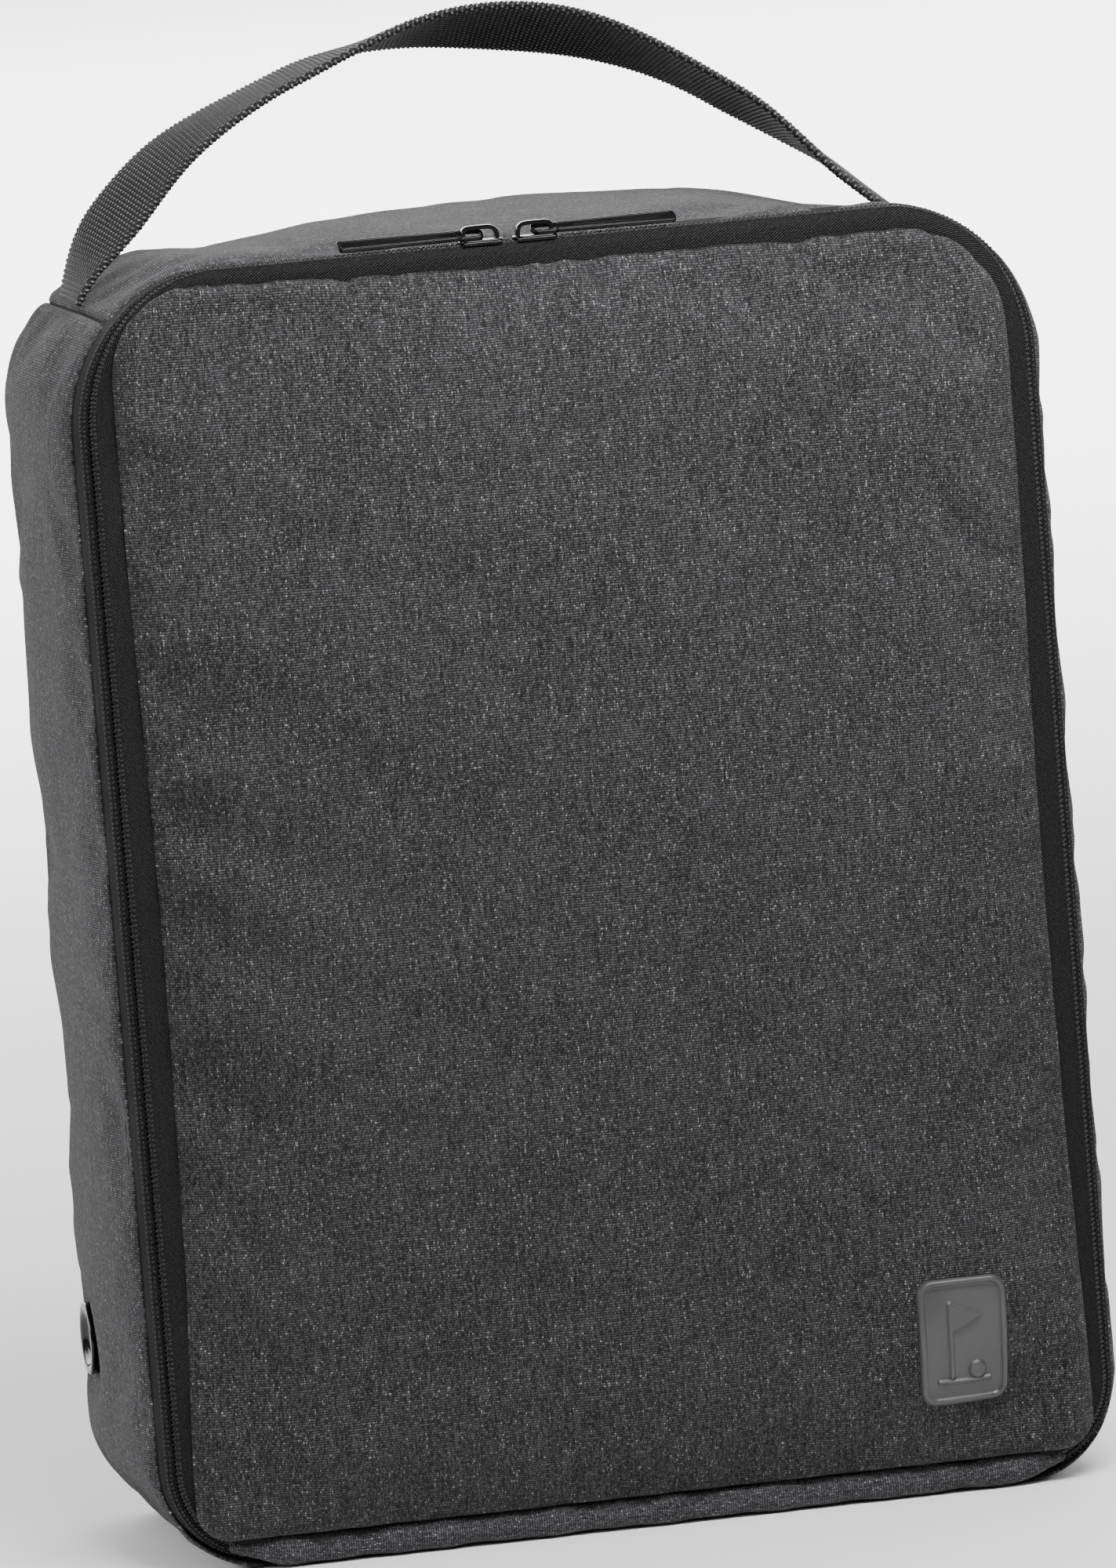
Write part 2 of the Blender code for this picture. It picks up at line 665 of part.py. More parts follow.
def main():
    clear_scene()
    parts = new_collection("golf_shoe_bag")
    axes = new_collection("joint_axes")
    cutters = new_collection("cutters")

    build_gusset(parts)
    build_back(parts)
    build_bindings(parts)
    build_board(parts)
    build_welt(parts)
    zipper_half("outer", OUTER_TAPE_SIDE, OUTER_TAPE_TOP, 0, OUTER_ZIP_END, parts)
    for label, side in (("left", -1), ("right", 1)):
        build_eyelet(label, side, cutters, parts)

    flap_axis = joint_empty("flap_axis", (0.0, FLAP_HINGE_Y, FLAP_HINGE_Z), axes)
    flap = build_flap(parts) + [build_badge(parts)]
    flap += zipper_half("inner", INNER_TAPE_SIDE, INNER_TAPE_TOP, 2, INNER_ZIP_END, parts)
    hang_from(flap_axis, flap)

    for label, x, direction in (("left", LEFT_SLIDER_X, -1), ("right", RIGHT_SLIDER_X, 1)):
        slider = build_slider(label, x, cutters, parts)
        pull = build_pull(label, x, direction, cutters, parts)
        pull_axis = joint_empty("pull_axis_" + label, (x, FRONT + ZIP_LINE, PULL_PIN_Z), axes)
        slider_axis = joint_empty("slider_axis_" + label, (x, FRONT + ZIP_LINE, HEIGHT), axes)
        hang_from(pull_axis, [pull])
        hang_from(slider_axis, [slider, pull_axis])

    webbing("handle_end_left", 0.0, LEFT_END_STOP, 4, parts)
    webbing("handle_end_right", RIGHT_END_START, 1.0, 5, parts)
    handle = webbing("handle", LEFT_END_STOP + HANDLE_GAP, RIGHT_END_START - HANDLE_GAP, 30, parts)
    hang_from(joint_empty("handle_axis", (0.0, HANDLE_Y, HANDLE_HINGE_Z), axes), [handle])


main()
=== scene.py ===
import json
from math import atan2, cos, pi, radians, sin

import bmesh
import bpy
import numpy as np
from mathutils import Matrix, Vector


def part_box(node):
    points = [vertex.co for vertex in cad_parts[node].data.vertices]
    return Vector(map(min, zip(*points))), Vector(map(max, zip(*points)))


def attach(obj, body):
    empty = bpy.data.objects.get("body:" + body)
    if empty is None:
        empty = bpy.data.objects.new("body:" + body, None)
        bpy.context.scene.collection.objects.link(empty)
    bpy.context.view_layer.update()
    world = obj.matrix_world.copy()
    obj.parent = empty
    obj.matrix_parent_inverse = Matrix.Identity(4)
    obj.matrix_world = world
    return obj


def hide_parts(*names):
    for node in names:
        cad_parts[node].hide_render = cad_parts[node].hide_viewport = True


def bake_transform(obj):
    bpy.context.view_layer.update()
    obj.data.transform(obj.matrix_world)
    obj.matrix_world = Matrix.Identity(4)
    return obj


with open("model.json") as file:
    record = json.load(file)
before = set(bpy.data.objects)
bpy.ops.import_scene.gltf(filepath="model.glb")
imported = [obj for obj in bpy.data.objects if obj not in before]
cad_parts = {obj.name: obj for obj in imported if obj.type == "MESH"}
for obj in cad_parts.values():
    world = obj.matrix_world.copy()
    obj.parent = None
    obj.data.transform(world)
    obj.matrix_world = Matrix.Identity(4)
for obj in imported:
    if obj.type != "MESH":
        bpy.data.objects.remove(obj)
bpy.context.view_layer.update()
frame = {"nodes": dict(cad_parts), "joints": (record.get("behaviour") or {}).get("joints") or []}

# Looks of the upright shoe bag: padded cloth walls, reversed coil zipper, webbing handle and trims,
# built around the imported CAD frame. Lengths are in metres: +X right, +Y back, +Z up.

MM = 0.001

# Driving dimensions, taken from the frame
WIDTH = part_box("back_panel")[1].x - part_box("back_panel")[0].x
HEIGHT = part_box("back_panel")[1].z
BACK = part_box("back_panel")[1].y
JOINTS = {joint["name"]: joint for joint in frame["joints"]}
HINGE = Vector(JOINTS["front_flap_open"]["pos_m"])
FABRIC = 0.9 * MM
FRONT = HINGE.y - FABRIC / 2

# Outline of the bag seen from the front
LOW_RADIUS = 28 * MM
HIGH_RADIUS = 42 * MM

# Front panel outline and padding
PANEL_HALF = 121.3 * MM
PANEL_LOW = 8.8 * MM
PANEL_TOP = 343.4 * MM
PANEL_LOW_RADIUS = 9 * MM
PANEL_HIGH_RADIUS = 25 * MM
PANEL_BULGE = 4.8 * MM
PANEL_REACH = 40 * MM
PANEL_ROLL = 0.9 * MM
PANEL_PAD = 5.0 * MM

# How far the slack right shoulder droops
SHOULDER_SAG = 8.5 * MM

# Cloth pattern
RIB = 0.66 * MM
YARN = 0.34 * MM
SLUB = (1 / (0.55 * MM), 1 / (13 * MM), 1.0)
TWILL = 1.0 * MM


# Camera


def make_camera():
    """A long lens near the front, turned a little to the bag's left and rolled."""
    yaw, pitch, roll = radians(10.56), radians(6.738), radians(4.532)
    distance = 3.63012
    target = Vector((0.0006, 0.0, 0.1966))
    back = Vector((-sin(yaw) * cos(pitch), -cos(yaw) * cos(pitch), sin(pitch)))
    right = Vector((cos(yaw), -sin(yaw), 0.0))
    up = right.cross(-back)
    across = cos(roll) * right - sin(roll) * up
    upward = sin(roll) * right + cos(roll) * up
    data = bpy.data.cameras.new("camera")
    data.lens = 306
    data.sensor_width = 36
    data.clip_end = 20
    camera = bpy.data.objects.new("camera", data)
    bpy.context.scene.collection.objects.link(camera)
    turn = Matrix((across, upward, back)).transposed().to_4x4()
    camera.matrix_world = Matrix.Translation(target + back * distance) @ turn
    bpy.context.scene.camera = camera


# Node materials


def node(tree, kind, values=None, **settings):
    """A shader node; each value is a number or colour to set, or a socket to link."""
    made = tree.nodes.new("ShaderNode" + kind)
    for key, value in settings.items():
        setattr(made, key, value)
    for key, value in (values or {}).items():
        if isinstance(value, bpy.types.NodeSocket):
            tree.links.new(value, made.inputs[key])
        else:
            made.inputs[key].default_value = value
    return made


def math(tree, operation, *values):
    return node(tree, "Math", dict(enumerate(values)), operation=operation).outputs[0]


def vector(tree, operation, *values):
    return node(tree, "VectorMath", dict(enumerate(values)), operation=operation).outputs[0]


def step(tree, value, low, high, to_low=0.0, to_high=1.0):
    """A smooth step of a value from one range to another."""
    made = node(tree, "MapRange", {"Value": value, "From Min": low, "From Max": high,
                                   "To Min": to_low, "To Max": to_high}, interpolation_type="SMOOTHSTEP")
    return made.outputs["Result"]


def noise(tree, place, scale, detail=2.0, roughness=0.5):
    made = node(tree, "TexNoise", {"Vector": place, "Scale": scale, "Detail": detail, "Roughness": roughness})
    return made.outputs["Fac"]


def mix(tree, share, first, second):
    made = node(tree, "Mix", {"Factor": share}, data_type="RGBA")
    for socket, value in zip([s for s in made.inputs if s.type == "RGBA"], (first, second)):
        if isinstance(value, bpy.types.NodeSocket):
            tree.links.new(value, socket)
        else:
            socket.default_value = (*value, 1.0)
    return [s for s in made.outputs if s.type == "RGBA"][0]


def grey(level, warmth=0.0, blue=0.0):
    return (level * (1 + warmth), level, level * (1 + blue))


def new_material(name, roughness, **fixed):
    """An empty Principled material; fixed values are set on the shader's own sockets."""
    material = bpy.data.materials.new(name)
    material.use_nodes = True
    tree = material.node_tree
    shader = tree.nodes["Principled BSDF"]
    shader.inputs["Roughness"].default_value = roughness
    for key, value in fixed.items():
        shader.inputs[key.replace("_", " ")].default_value = value
    return material, tree, shader


def finish_material(tree, shader, colour, height, depth, roughness=None):
    """Links colour and a bump of the given depth in metres."""
    bump = node(tree, "Bump", {"Height": height, "Strength": 1.0, "Distance": depth})
    tree.links.new(bump.outputs["Normal"], shader.inputs["Normal"])
    tree.links.new(colour, shader.inputs["Base Color"])
    if roughness is not None:
        tree.links.new(roughness, shader.inputs["Roughness"])


def woven(tree):
    """The cloth coordinates that a piece carries: x along the ribs, y across them, in metres."""
    return node(tree, "Attribute", attribute_name="weave", attribute_type="GEOMETRY").outputs["Vector"]


def parts_of(tree, place):
    return node(tree, "SeparateXYZ", {0: place}).outputs


def joined(tree, x, y, z=0.0):
    return node(tree, "CombineXYZ", {0: x, 1: y, 2: z}).outputs[0]


def cloth_material(name, dark, light, fleck):
    """Heather cloth: rows of yarn grains, each its own grey, parted by grooves filled with painted shade and
    crossed by slubs.
    """
    material, tree, shader = new_material(name, 0.92, Sheen_Weight=0.04, Sheen_Roughness=0.5,
                                          Specular_IOR_Level=0.15)
    place = woven(tree)
    along, across, _ = parts_of(tree, place)
    wander = noise(tree, place, 45.0, 2.0)
    fuzz = noise(tree, place, 1300.0, 2.0, 0.6)
    row = math(tree, "MULTIPLY_ADD", wander, 0.8, math(tree, "DIVIDE", across, RIB))
    row = math(tree, "MULTIPLY_ADD", fuzz, 0.7, row)
    number = math(tree, "FLOOR", row)
    shift = node(tree, "TexWhiteNoise", {"W": number}, noise_dimensions="1D").outputs["Value"]
    jitter = noise(tree, place, 1100.0, 1.0)
    yarn = math(tree, "MULTIPLY_ADD", shift, 7.0, math(tree, "DIVIDE", along, YARN))
    yarn = math(tree, "MULTIPLY_ADD", jitter, 1.5, yarn)
    cell = joined(tree, math(tree, "FLOOR", yarn), number)
    chance = node(tree, "TexWhiteNoise", {"Vector": cell}, noise_dimensions="2D").outputs["Value"]
    luck = node(tree, "TexWhiteNoise", {"Vector": vector(tree, "ADD", cell, (0.5, 0.5, 9.0))},
                noise_dimensions="3D").outputs["Value"]
    rib = math(tree, "SINE", math(tree, "MULTIPLY", math(tree, "FRACT", row), pi))
    bead = math(tree, "SINE", math(tree, "MULTIPLY", math(tree, "FRACT", yarn), pi))
    slub = noise(tree, vector(tree, "MULTIPLY", place, SLUB), 1.0, 1.0)
    patch = noise(tree, place, 22.0, 3.0)
    # grain is 1 on the tops of the rows and grains and low in the grooves between them, where the colour
    # turns to painted shade
    grain = math(tree, "MULTIPLY", step(tree, rib, 0.10, 0.95, 0.22, 1.0),
                 step(tree, bead, 0.0, 0.9, 0.30, 1.0))
    level = math(tree, "MULTIPLY", math(tree, "POWER", chance, 1.6), 0.70)
    level = math(tree, "ADD", level, step(tree, slub, 0.36, 0.76, 0.0, 0.26))
    level = math(tree, "ADD", level, step(tree, patch, 0.35, 0.65, 0.0, 0.06))
    yarns = mix(tree, level, dark, light)
    bright = math(tree, "MULTIPLY", step(tree, luck, 0.940, 0.985), step(tree, slub, 0.38, 0.66, 0.15, 1.0))
    yarns = mix(tree, bright, yarns, fleck)
    # painted groove shade: a grey far darker than any yarn, standing in for the shade in the grooves
    painted_groove_shade = tuple(0.3 * channel for channel in dark)
    height = math(tree, "MULTIPLY_ADD", bead, 0.35, rib)
    finish_material(tree, shader, mix(tree, grain, painted_groove_shade, yarns), height, 0.14 * MM)
    return material


def twill_material(name, slope, level):
    """Zipper tape: slanting twill cords of black yarn, with painted light on the cords and painted shade
    between them, broken by a fine speckle.
    """
    material, tree, shader = new_material(name, 0.78, Sheen_Weight=0.0, Specular_IOR_Level=0.14)
    place = woven(tree)
    along, across, _ = parts_of(tree, place)
    slant = math(tree, "DIVIDE", math(tree, "MULTIPLY_ADD", across, slope, along), TWILL)
    line = math(tree, "SINE", math(tree, "MULTIPLY", math(tree, "FRACT", slant), pi))
    thread = math(tree, "SINE", math(tree, "MULTIPLY", across, 2 * pi / (0.5 * MM)))
    speck = noise(tree, place, 1400.0, 2.0, 0.6)
    # share is the painted light on the cords; where it is low the colour is painted shade between them
    share = math(tree, "MULTIPLY", step(tree, line, 0.50, 0.98), step(tree, speck, 0.35, 0.65, 0.30, 1.0))
    # grey(level * 0.08) is the painted shade between the cords, grey(level) the painted light on them
    colour = mix(tree, share, grey(level * 0.08), grey(level, 0.0, 0.04))
    height = math(tree, "MULTIPLY_ADD", thread, 0.25, line)
    finish_material(tree, shader, colour, height, 0.30 * MM)
    return material


def webbing_material():
    """Coarse black webbing: knots of yarn in a brick pattern, with painted highlights on the knot tops and
    painted shade between them, fibres on them.
    """
    material, tree, shader = new_material("webbing_weave", 0.55, Sheen_Weight=0.02, Specular_IOR_Level=0.35)
    place = woven(tree)
    along, across, _ = parts_of(tree, place)
    row = math(tree, "DIVIDE", along, KNOT_LENGTH)
    odd = math(tree, "PINGPONG", math(tree, "FLOOR", row), 1.0)
    column = math(tree, "MULTIPLY_ADD", odd, 0.5, math(tree, "DIVIDE", across, KNOT_WIDTH))
    knot = math(tree, "MULTIPLY", math(tree, "SINE", math(tree, "MULTIPLY", math(tree, "FRACT", row), pi)),
                math(tree, "SINE", math(tree, "MULTIPLY", math(tree, "FRACT", column), pi)))
    fuzz = noise(tree, place, 1500.0, 3.0, 0.7)
    patchy = noise(tree, place, 45.0, 3.0)
    # share is a painted highlight on the knot tops, thinned by fibres and by patchy noise
    share = math(tree, "MULTIPLY", step(tree, knot, 0.60, 0.98), step(tree, fuzz, 0.3, 0.7, 0.4, 1.0))
    share = math(tree, "MULTIPLY", share, step(tree, patchy, 0.3, 0.7, 0.65, 1.0))
    # grey(0.0030) is the painted shade between the knots, the lighter grey the painted highlight on their
    # tops
    colour = mix(tree, share, grey(0.0030), grey(0.170, 0.0, 0.03))
    height = math(tree, "MULTIPLY_ADD", fuzz, 0.25, knot)
    finish_material(tree, shader, colour, height, 0.35 * MM)
    return material


def plain_weave_material(name, low, high, thread, roughness=0.75):
    """A fine plain weave, for lining, binding tape and sewing thread."""
    material, tree, shader = new_material(name, roughness, Sheen_Weight=0.04, Specular_IOR_Level=0.3)
    place = woven(tree)
    along, across, _ = parts_of(tree, place)
    warp = math(tree, "SINE", math(tree, "MULTIPLY", along, 2 * pi / thread))
    weft = math(tree, "SINE", math(tree, "MULTIPLY", across, 2 * pi / thread))
    check = math(tree, "MULTIPLY", warp, weft)
    patchy = noise(tree, place, 30.0, 4.0)
    share = math(tree, "ADD", step(tree, check, -0.6, 0.8, 0.0, 0.45), step(tree, patchy, 0.3, 0.7, 0.0, 0.45))
    finish_material(tree, shader, mix(tree, share, low, high), check, 0.07 * MM)
    return material


def object_place(tree):
    return node(tree, "TexCoord").outputs["Object"]


def edge_wear(tree, low, high):
    """Where edges have rubbed: high on outward edges."""
    pointed = node(tree, "NewGeometry").outputs["Pointiness"]
    return step(tree, pointed, low, high)


def metal_material():
    """Glossy black enamel over die-cast metal, with fine orange peel and rubbed edges."""
    material, tree, shader = new_material("black_enamel", 0.2, IOR=1.4)
    place = object_place(tree)
    peel = noise(tree, place, 500.0, 1.0)
    dust = noise(tree, place, 260.0, 5.0, 0.7)
    rubbed = math(tree, "MULTIPLY", edge_wear(tree, 0.60, 0.78), step(tree, dust, 0.5, 0.7))
    colour = mix(tree, rubbed, grey(0.003), grey(0.030, 0.0, 0.03))
    roughness = step(tree, dust, 0.35, 0.75, 0.12, 0.22)
    finish_material(tree, shader, colour, peel, 0.002 * MM, roughness)
    return material


def coil_material():
    material, tree, shader = new_material("nylon_coil", 0.34, Specular_IOR_Level=0.5)
    place = object_place(tree)
    fine = noise(tree, place, 2200.0, 3.0)
    rubbed = noise(tree, place, 120.0, 3.0)
    colour = mix(tree, step(tree, rubbed, 0.35, 0.7), grey(0.008), grey(0.022))
    finish_material(tree, shader, colour, fine, 0.02 * MM, step(tree, rubbed, 0.3, 0.7, 0.28, 0.46))
    return material


def rubber_material():
    """Satin moulded rubber with a fine grain, slightly polished where it stands proud."""
    material, tree, shader = new_material("badge_rubber", 0.42, Specular_IOR_Level=0.5)
    place = object_place(tree)
    grain = noise(tree, place, 2600.0, 3.0, 0.6)
    cloud = noise(tree, place, 70.0, 4.0)
    share = math(tree, "ADD", step(tree, cloud, 0.3, 0.7, 0.0, 0.5),
                 math(tree, "MULTIPLY", edge_wear(tree, 0.52, 0.62), 0.5))
    colour = mix(tree, share, grey(0.036, 0.0, 0.02), grey(0.066, 0.0, 0.03))
    finish_material(tree, shader, colour, grain, 0.03 * MM, step(tree, cloud, 0.3, 0.7, 0.36, 0.5))
    return material


def board_material():
    material, tree, shader = new_material("stiffener_board", 0.55)
    place = object_place(tree)
    grain = noise(tree, place, 420.0, 4.0, 0.6)
    scuff = noise(tree, vector(tree, "MULTIPLY", place, (12.0, 160.0, 60.0)), 1.0, 4.0)
    colour = mix(tree, step(tree, scuff, 0.5, 0.75), grey(0.016), grey(0.040))
    finish_material(tree, shader, colour, grain, 0.08 * MM, step(tree, scuff, 0.3, 0.7, 0.45, 0.65))
    return material


def stage_material():
    material, tree, shader = new_material("pale_floor", 0.75)
    place = object_place(tree)
    cloud = noise(tree, place, 3.0, 3.0)
    colour = mix(tree, cloud, grey(0.86), grey(0.90))
    finish_material(tree, shader, colour, cloud, 0.2 * MM)
    return material


# Shape helpers


def smooth(t):
    t = np.clip(t, 0.0, 1.0)
    return t * t * (3 - 2 * t)


class Outline:
    """A rounded rectangle, walked clockwise seen from the front, from the middle of its lower edge."""

    def __init__(self, half, low, top, low_radius, high_radius):
        arc_low, arc_high = low_radius * pi / 2, high_radius * pi / 2
        floor, side = half - low_radius, top - low - low_radius - high_radius
        roof = 2 * (half - high_radius)
        lengths = (0, floor, arc_low, side, arc_high, roof, arc_high, side, arc_low, floor)
        self.marks = np.cumsum(lengths)
        self.length = self.marks[-1]
        self.turns = np.radians((-90, -90, -180, -180, -270, -270, -360, -360, -450, -450))
        inner_low, inner_high = half - low_radius, half - high_radius
        self.across = np.array((0, -inner_low, -inner_low, -inner_high, -inner_high,
                                inner_high, inner_high, inner_low, inner_low, 0))
        self.up = np.array([low + low_radius] * 3 + [top - high_radius] * 4 + [low + low_radius] * 3)
        self.radius = np.array([low_radius] * 3 + [high_radius] * 4 + [low_radius] * 3)

    def at(self, along):
        """x, z and the outward normal's x and z at distances along the outline."""
        turn = np.interp(along, self.marks, self.turns)
        radius = np.interp(along, self.marks, self.radius)
        nx, nz = np.cos(turn), np.sin(turn)
        x = np.interp(along, self.marks, self.across) + radius * nx
        z = np.interp(along, self.marks, self.up) + radius * nz
        return x, z, nx, nz

    def top_share(self, along):
        """0 beside the walls, 1 along the top, blending round the high corners."""
        marks = self.marks
        return smooth(np.interp(along, (marks[3], marks[4], marks[5], marks[6]), (0, 1, 1, 0)))

    def floor_share(self, along):
        """1 along the floor, 0 up the walls, blending round the low corners."""
        marks = self.marks
        return smooth(np.interp(along, (marks[1], marks[2], marks[7], marks[8]), (1, 0, 0, 1)))


RIM = Outline(WIDTH / 2, 0.0, HEIGHT, LOW_RADIUS, HIGH_RADIUS)
LEFT_SHOULDER = (RIM.marks[3] + RIM.marks[4]) / 2
RIGHT_SHOULDER = (RIM.marks[5] + RIM.marks[6]) / 2
LEFT_FOOT, RIGHT_FOOT = RIM.marks[1], RIM.marks[8]


def waves(place, seed, count, longest, shortest):
    """Smooth random folds over a surface: a sum of plane waves with seeded directions."""
    draw = np.random.default_rng(seed)
    total = np.zeros(place.shape[:-1])
    for _ in range(count):
        angle = draw.uniform(0, 2 * pi)
        length = draw.uniform(shortest, longest)
        phase = draw.uniform(0, 2 * pi)
        run = place[..., 0] * cos(angle) + place[..., 1] * sin(angle)
        total += np.sin(run * 2 * pi / length + phase) * length / longest
    return total / np.sqrt(count)


def new_mesh(name, vertices, faces, weave=None, smooth_faces=True):
    mesh = bpy.data.meshes.new(name)
    mesh.from_pydata(np.asarray(vertices, float).tolist(), [], [list(face) for face in faces])
    if weave is not None:
        layer = mesh.attributes.new("weave", "FLOAT_VECTOR", "POINT")
        layer.data.foreach_set("vector", np.asarray(weave, np.float32).ravel())
    mesh.validate()
    mesh.polygons.foreach_set("use_smooth", [smooth_faces] * len(mesh.polygons))
    made = bpy.data.objects.new(name, mesh)
    bpy.context.scene.collection.objects.link(made)
    return made


def grid_faces(rows, columns, wrap=False, start=0):
    index = start + np.arange(rows * columns).reshape(rows, columns)
    if wrap:
        index = np.hstack([index, index[:, :1]])
    return np.stack([index[:-1, :-1], index[:-1, 1:], index[1:, 1:], index[1:, :-1]], -1).reshape(-1, 4)


def edge_loop(rows, columns):
    """Indices round the border of a grid."""
    index = np.arange(rows * columns).reshape(rows, columns)
    return np.concatenate([index[0, :-1], index[:-1, -1], index[-1, :0:-1], index[:0:-1, 0]])


def sheet_object(name, points, weave, wrap=False):
    """An open sheet from a grid of points."""
    rows, columns = points.shape[:2]
    return new_mesh(name, points.reshape(-1, 3), grid_faces(rows, columns, wrap), weave.reshape(-1, 3))


def pad_object(name, outer, inner, weave):
    """A closed padded body between two matching grids of points."""
    rows, columns = outer.shape[:2]
    count = rows * columns
    loop = edge_loop(rows, columns)
    following = np.roll(loop, -1)
    walls = np.stack([loop, loop + count, following + count, following], -1)
    faces = np.vstack([grid_faces(rows, columns), grid_faces(rows, columns, start=count)[:, ::-1], walls])
    vertices = np.vstack([outer.reshape(-1, 3), inner.reshape(-1, 3)])
    made = new_mesh(name, vertices, faces, np.vstack([weave.reshape(-1, 3)] * 2))
    return outward(made)


def outward(made):
    """Turns a closed body's faces outwards."""
    bm = bmesh.new()
    bm.from_mesh(made.data)
    bmesh.ops.recalc_face_normals(bm, faces=bm.faces)
    if bm.calc_volume(signed=True) < 0:
        bmesh.ops.reverse_faces(bm, faces=bm.faces)
    bm.to_mesh(made.data)
    bm.free()
    return made


def subdivide(made, levels=1):
    modifier = made.modifiers.new("subdivision", "SUBSURF")
    modifier.levels = levels
    modifier.render_levels = levels
    return made


def thicken(made, thickness, offset=-1.0):
    modifier = made.modifiers.new("thickness", "SOLIDIFY")
    modifier.thickness = thickness
    modifier.offset = offset
    return made


def dress(made, material, body, slot, *replaced):
    """Gives a piece its material and its body and hides the CAD nodes that it stands for; the slot is not
    used.
    """
    made.data.materials.clear()
    made.data.materials.append(material)
    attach(made, body)
    if replaced:
        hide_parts(*replaced)
    return made


def swell(points, wrap, sewn, pressure, growth, cap):
    """Cloth simulation of a sheet whose sewn points stay put: slight excess cloth under inner pressure.
    Returns the moved points; no point moves further than the cap."""
    rows, columns = points.shape[:2]
    made = sheet_object("swelling", points, np.zeros_like(points), wrap)
    group = made.vertex_groups.new(name="sewn")
    group.add(np.flatnonzero(sewn.ravel()).tolist(), 1.0, "REPLACE")
    modifier = made.modifiers.new("cloth", "CLOTH")
    settings = modifier.settings
    settings.quality = 5
    settings.mass = 0.25
    settings.air_damping = 4.0
    settings.tension_stiffness = 25.0
    settings.compression_stiffness = 25.0
    settings.shear_stiffness = 12.0
    settings.bending_stiffness = 3.0
    settings.use_pressure = True
    settings.uniform_pressure_force = pressure
    settings.shrink_min = -growth
    settings.vertex_group_mass = group.name
    settings.effector_weights.gravity = 0.0
    modifier.collision_settings.use_collision = False
    modifier.collision_settings.use_self_collision = False
    scene = bpy.context.scene
    for moment in range(1, 21):
        scene.frame_set(moment)
    solved = made.evaluated_get(bpy.context.evaluated_depsgraph_get())
    result = np.empty(rows * columns * 3)
    solved.data.vertices.foreach_get("co", result)
    scene.frame_set(1)
    bpy.data.objects.remove(made)
    moved = result.reshape(points.shape) - points
    far = np.maximum(np.linalg.norm(moved, axis=-1, keepdims=True), 1e-9)
    return points + moved / far * cap * np.tanh(far / cap)


def top_crest(x):
    """The top stands up a little in the middle and dips beside the handle's left end."""
    hump = 2.0 * MM * np.exp(-((x - 4 * MM) / (48 * MM)) ** 2)
    return hump - 3.2 * MM * np.exp(-((x + 86 * MM) / (34 * MM)) ** 2)


def sag(points):
    """The unfilled right shoulder droops behind the front rim: moves points down and in, most at the back."""
    x, y, z = points[..., 0], points[..., 1], points[..., 2]
    share = smooth((x - 48 * MM) / (55 * MM)) * smooth((z - 0.262) / 0.07)
    share = share * smooth((y - FRONT - 10 * MM) / (48 * MM))
    points[..., 0] = x - 0.35 * SHOULDER_SAG * share
    points[..., 2] = z - SHOULDER_SAG * share
    return points


# Padded walls


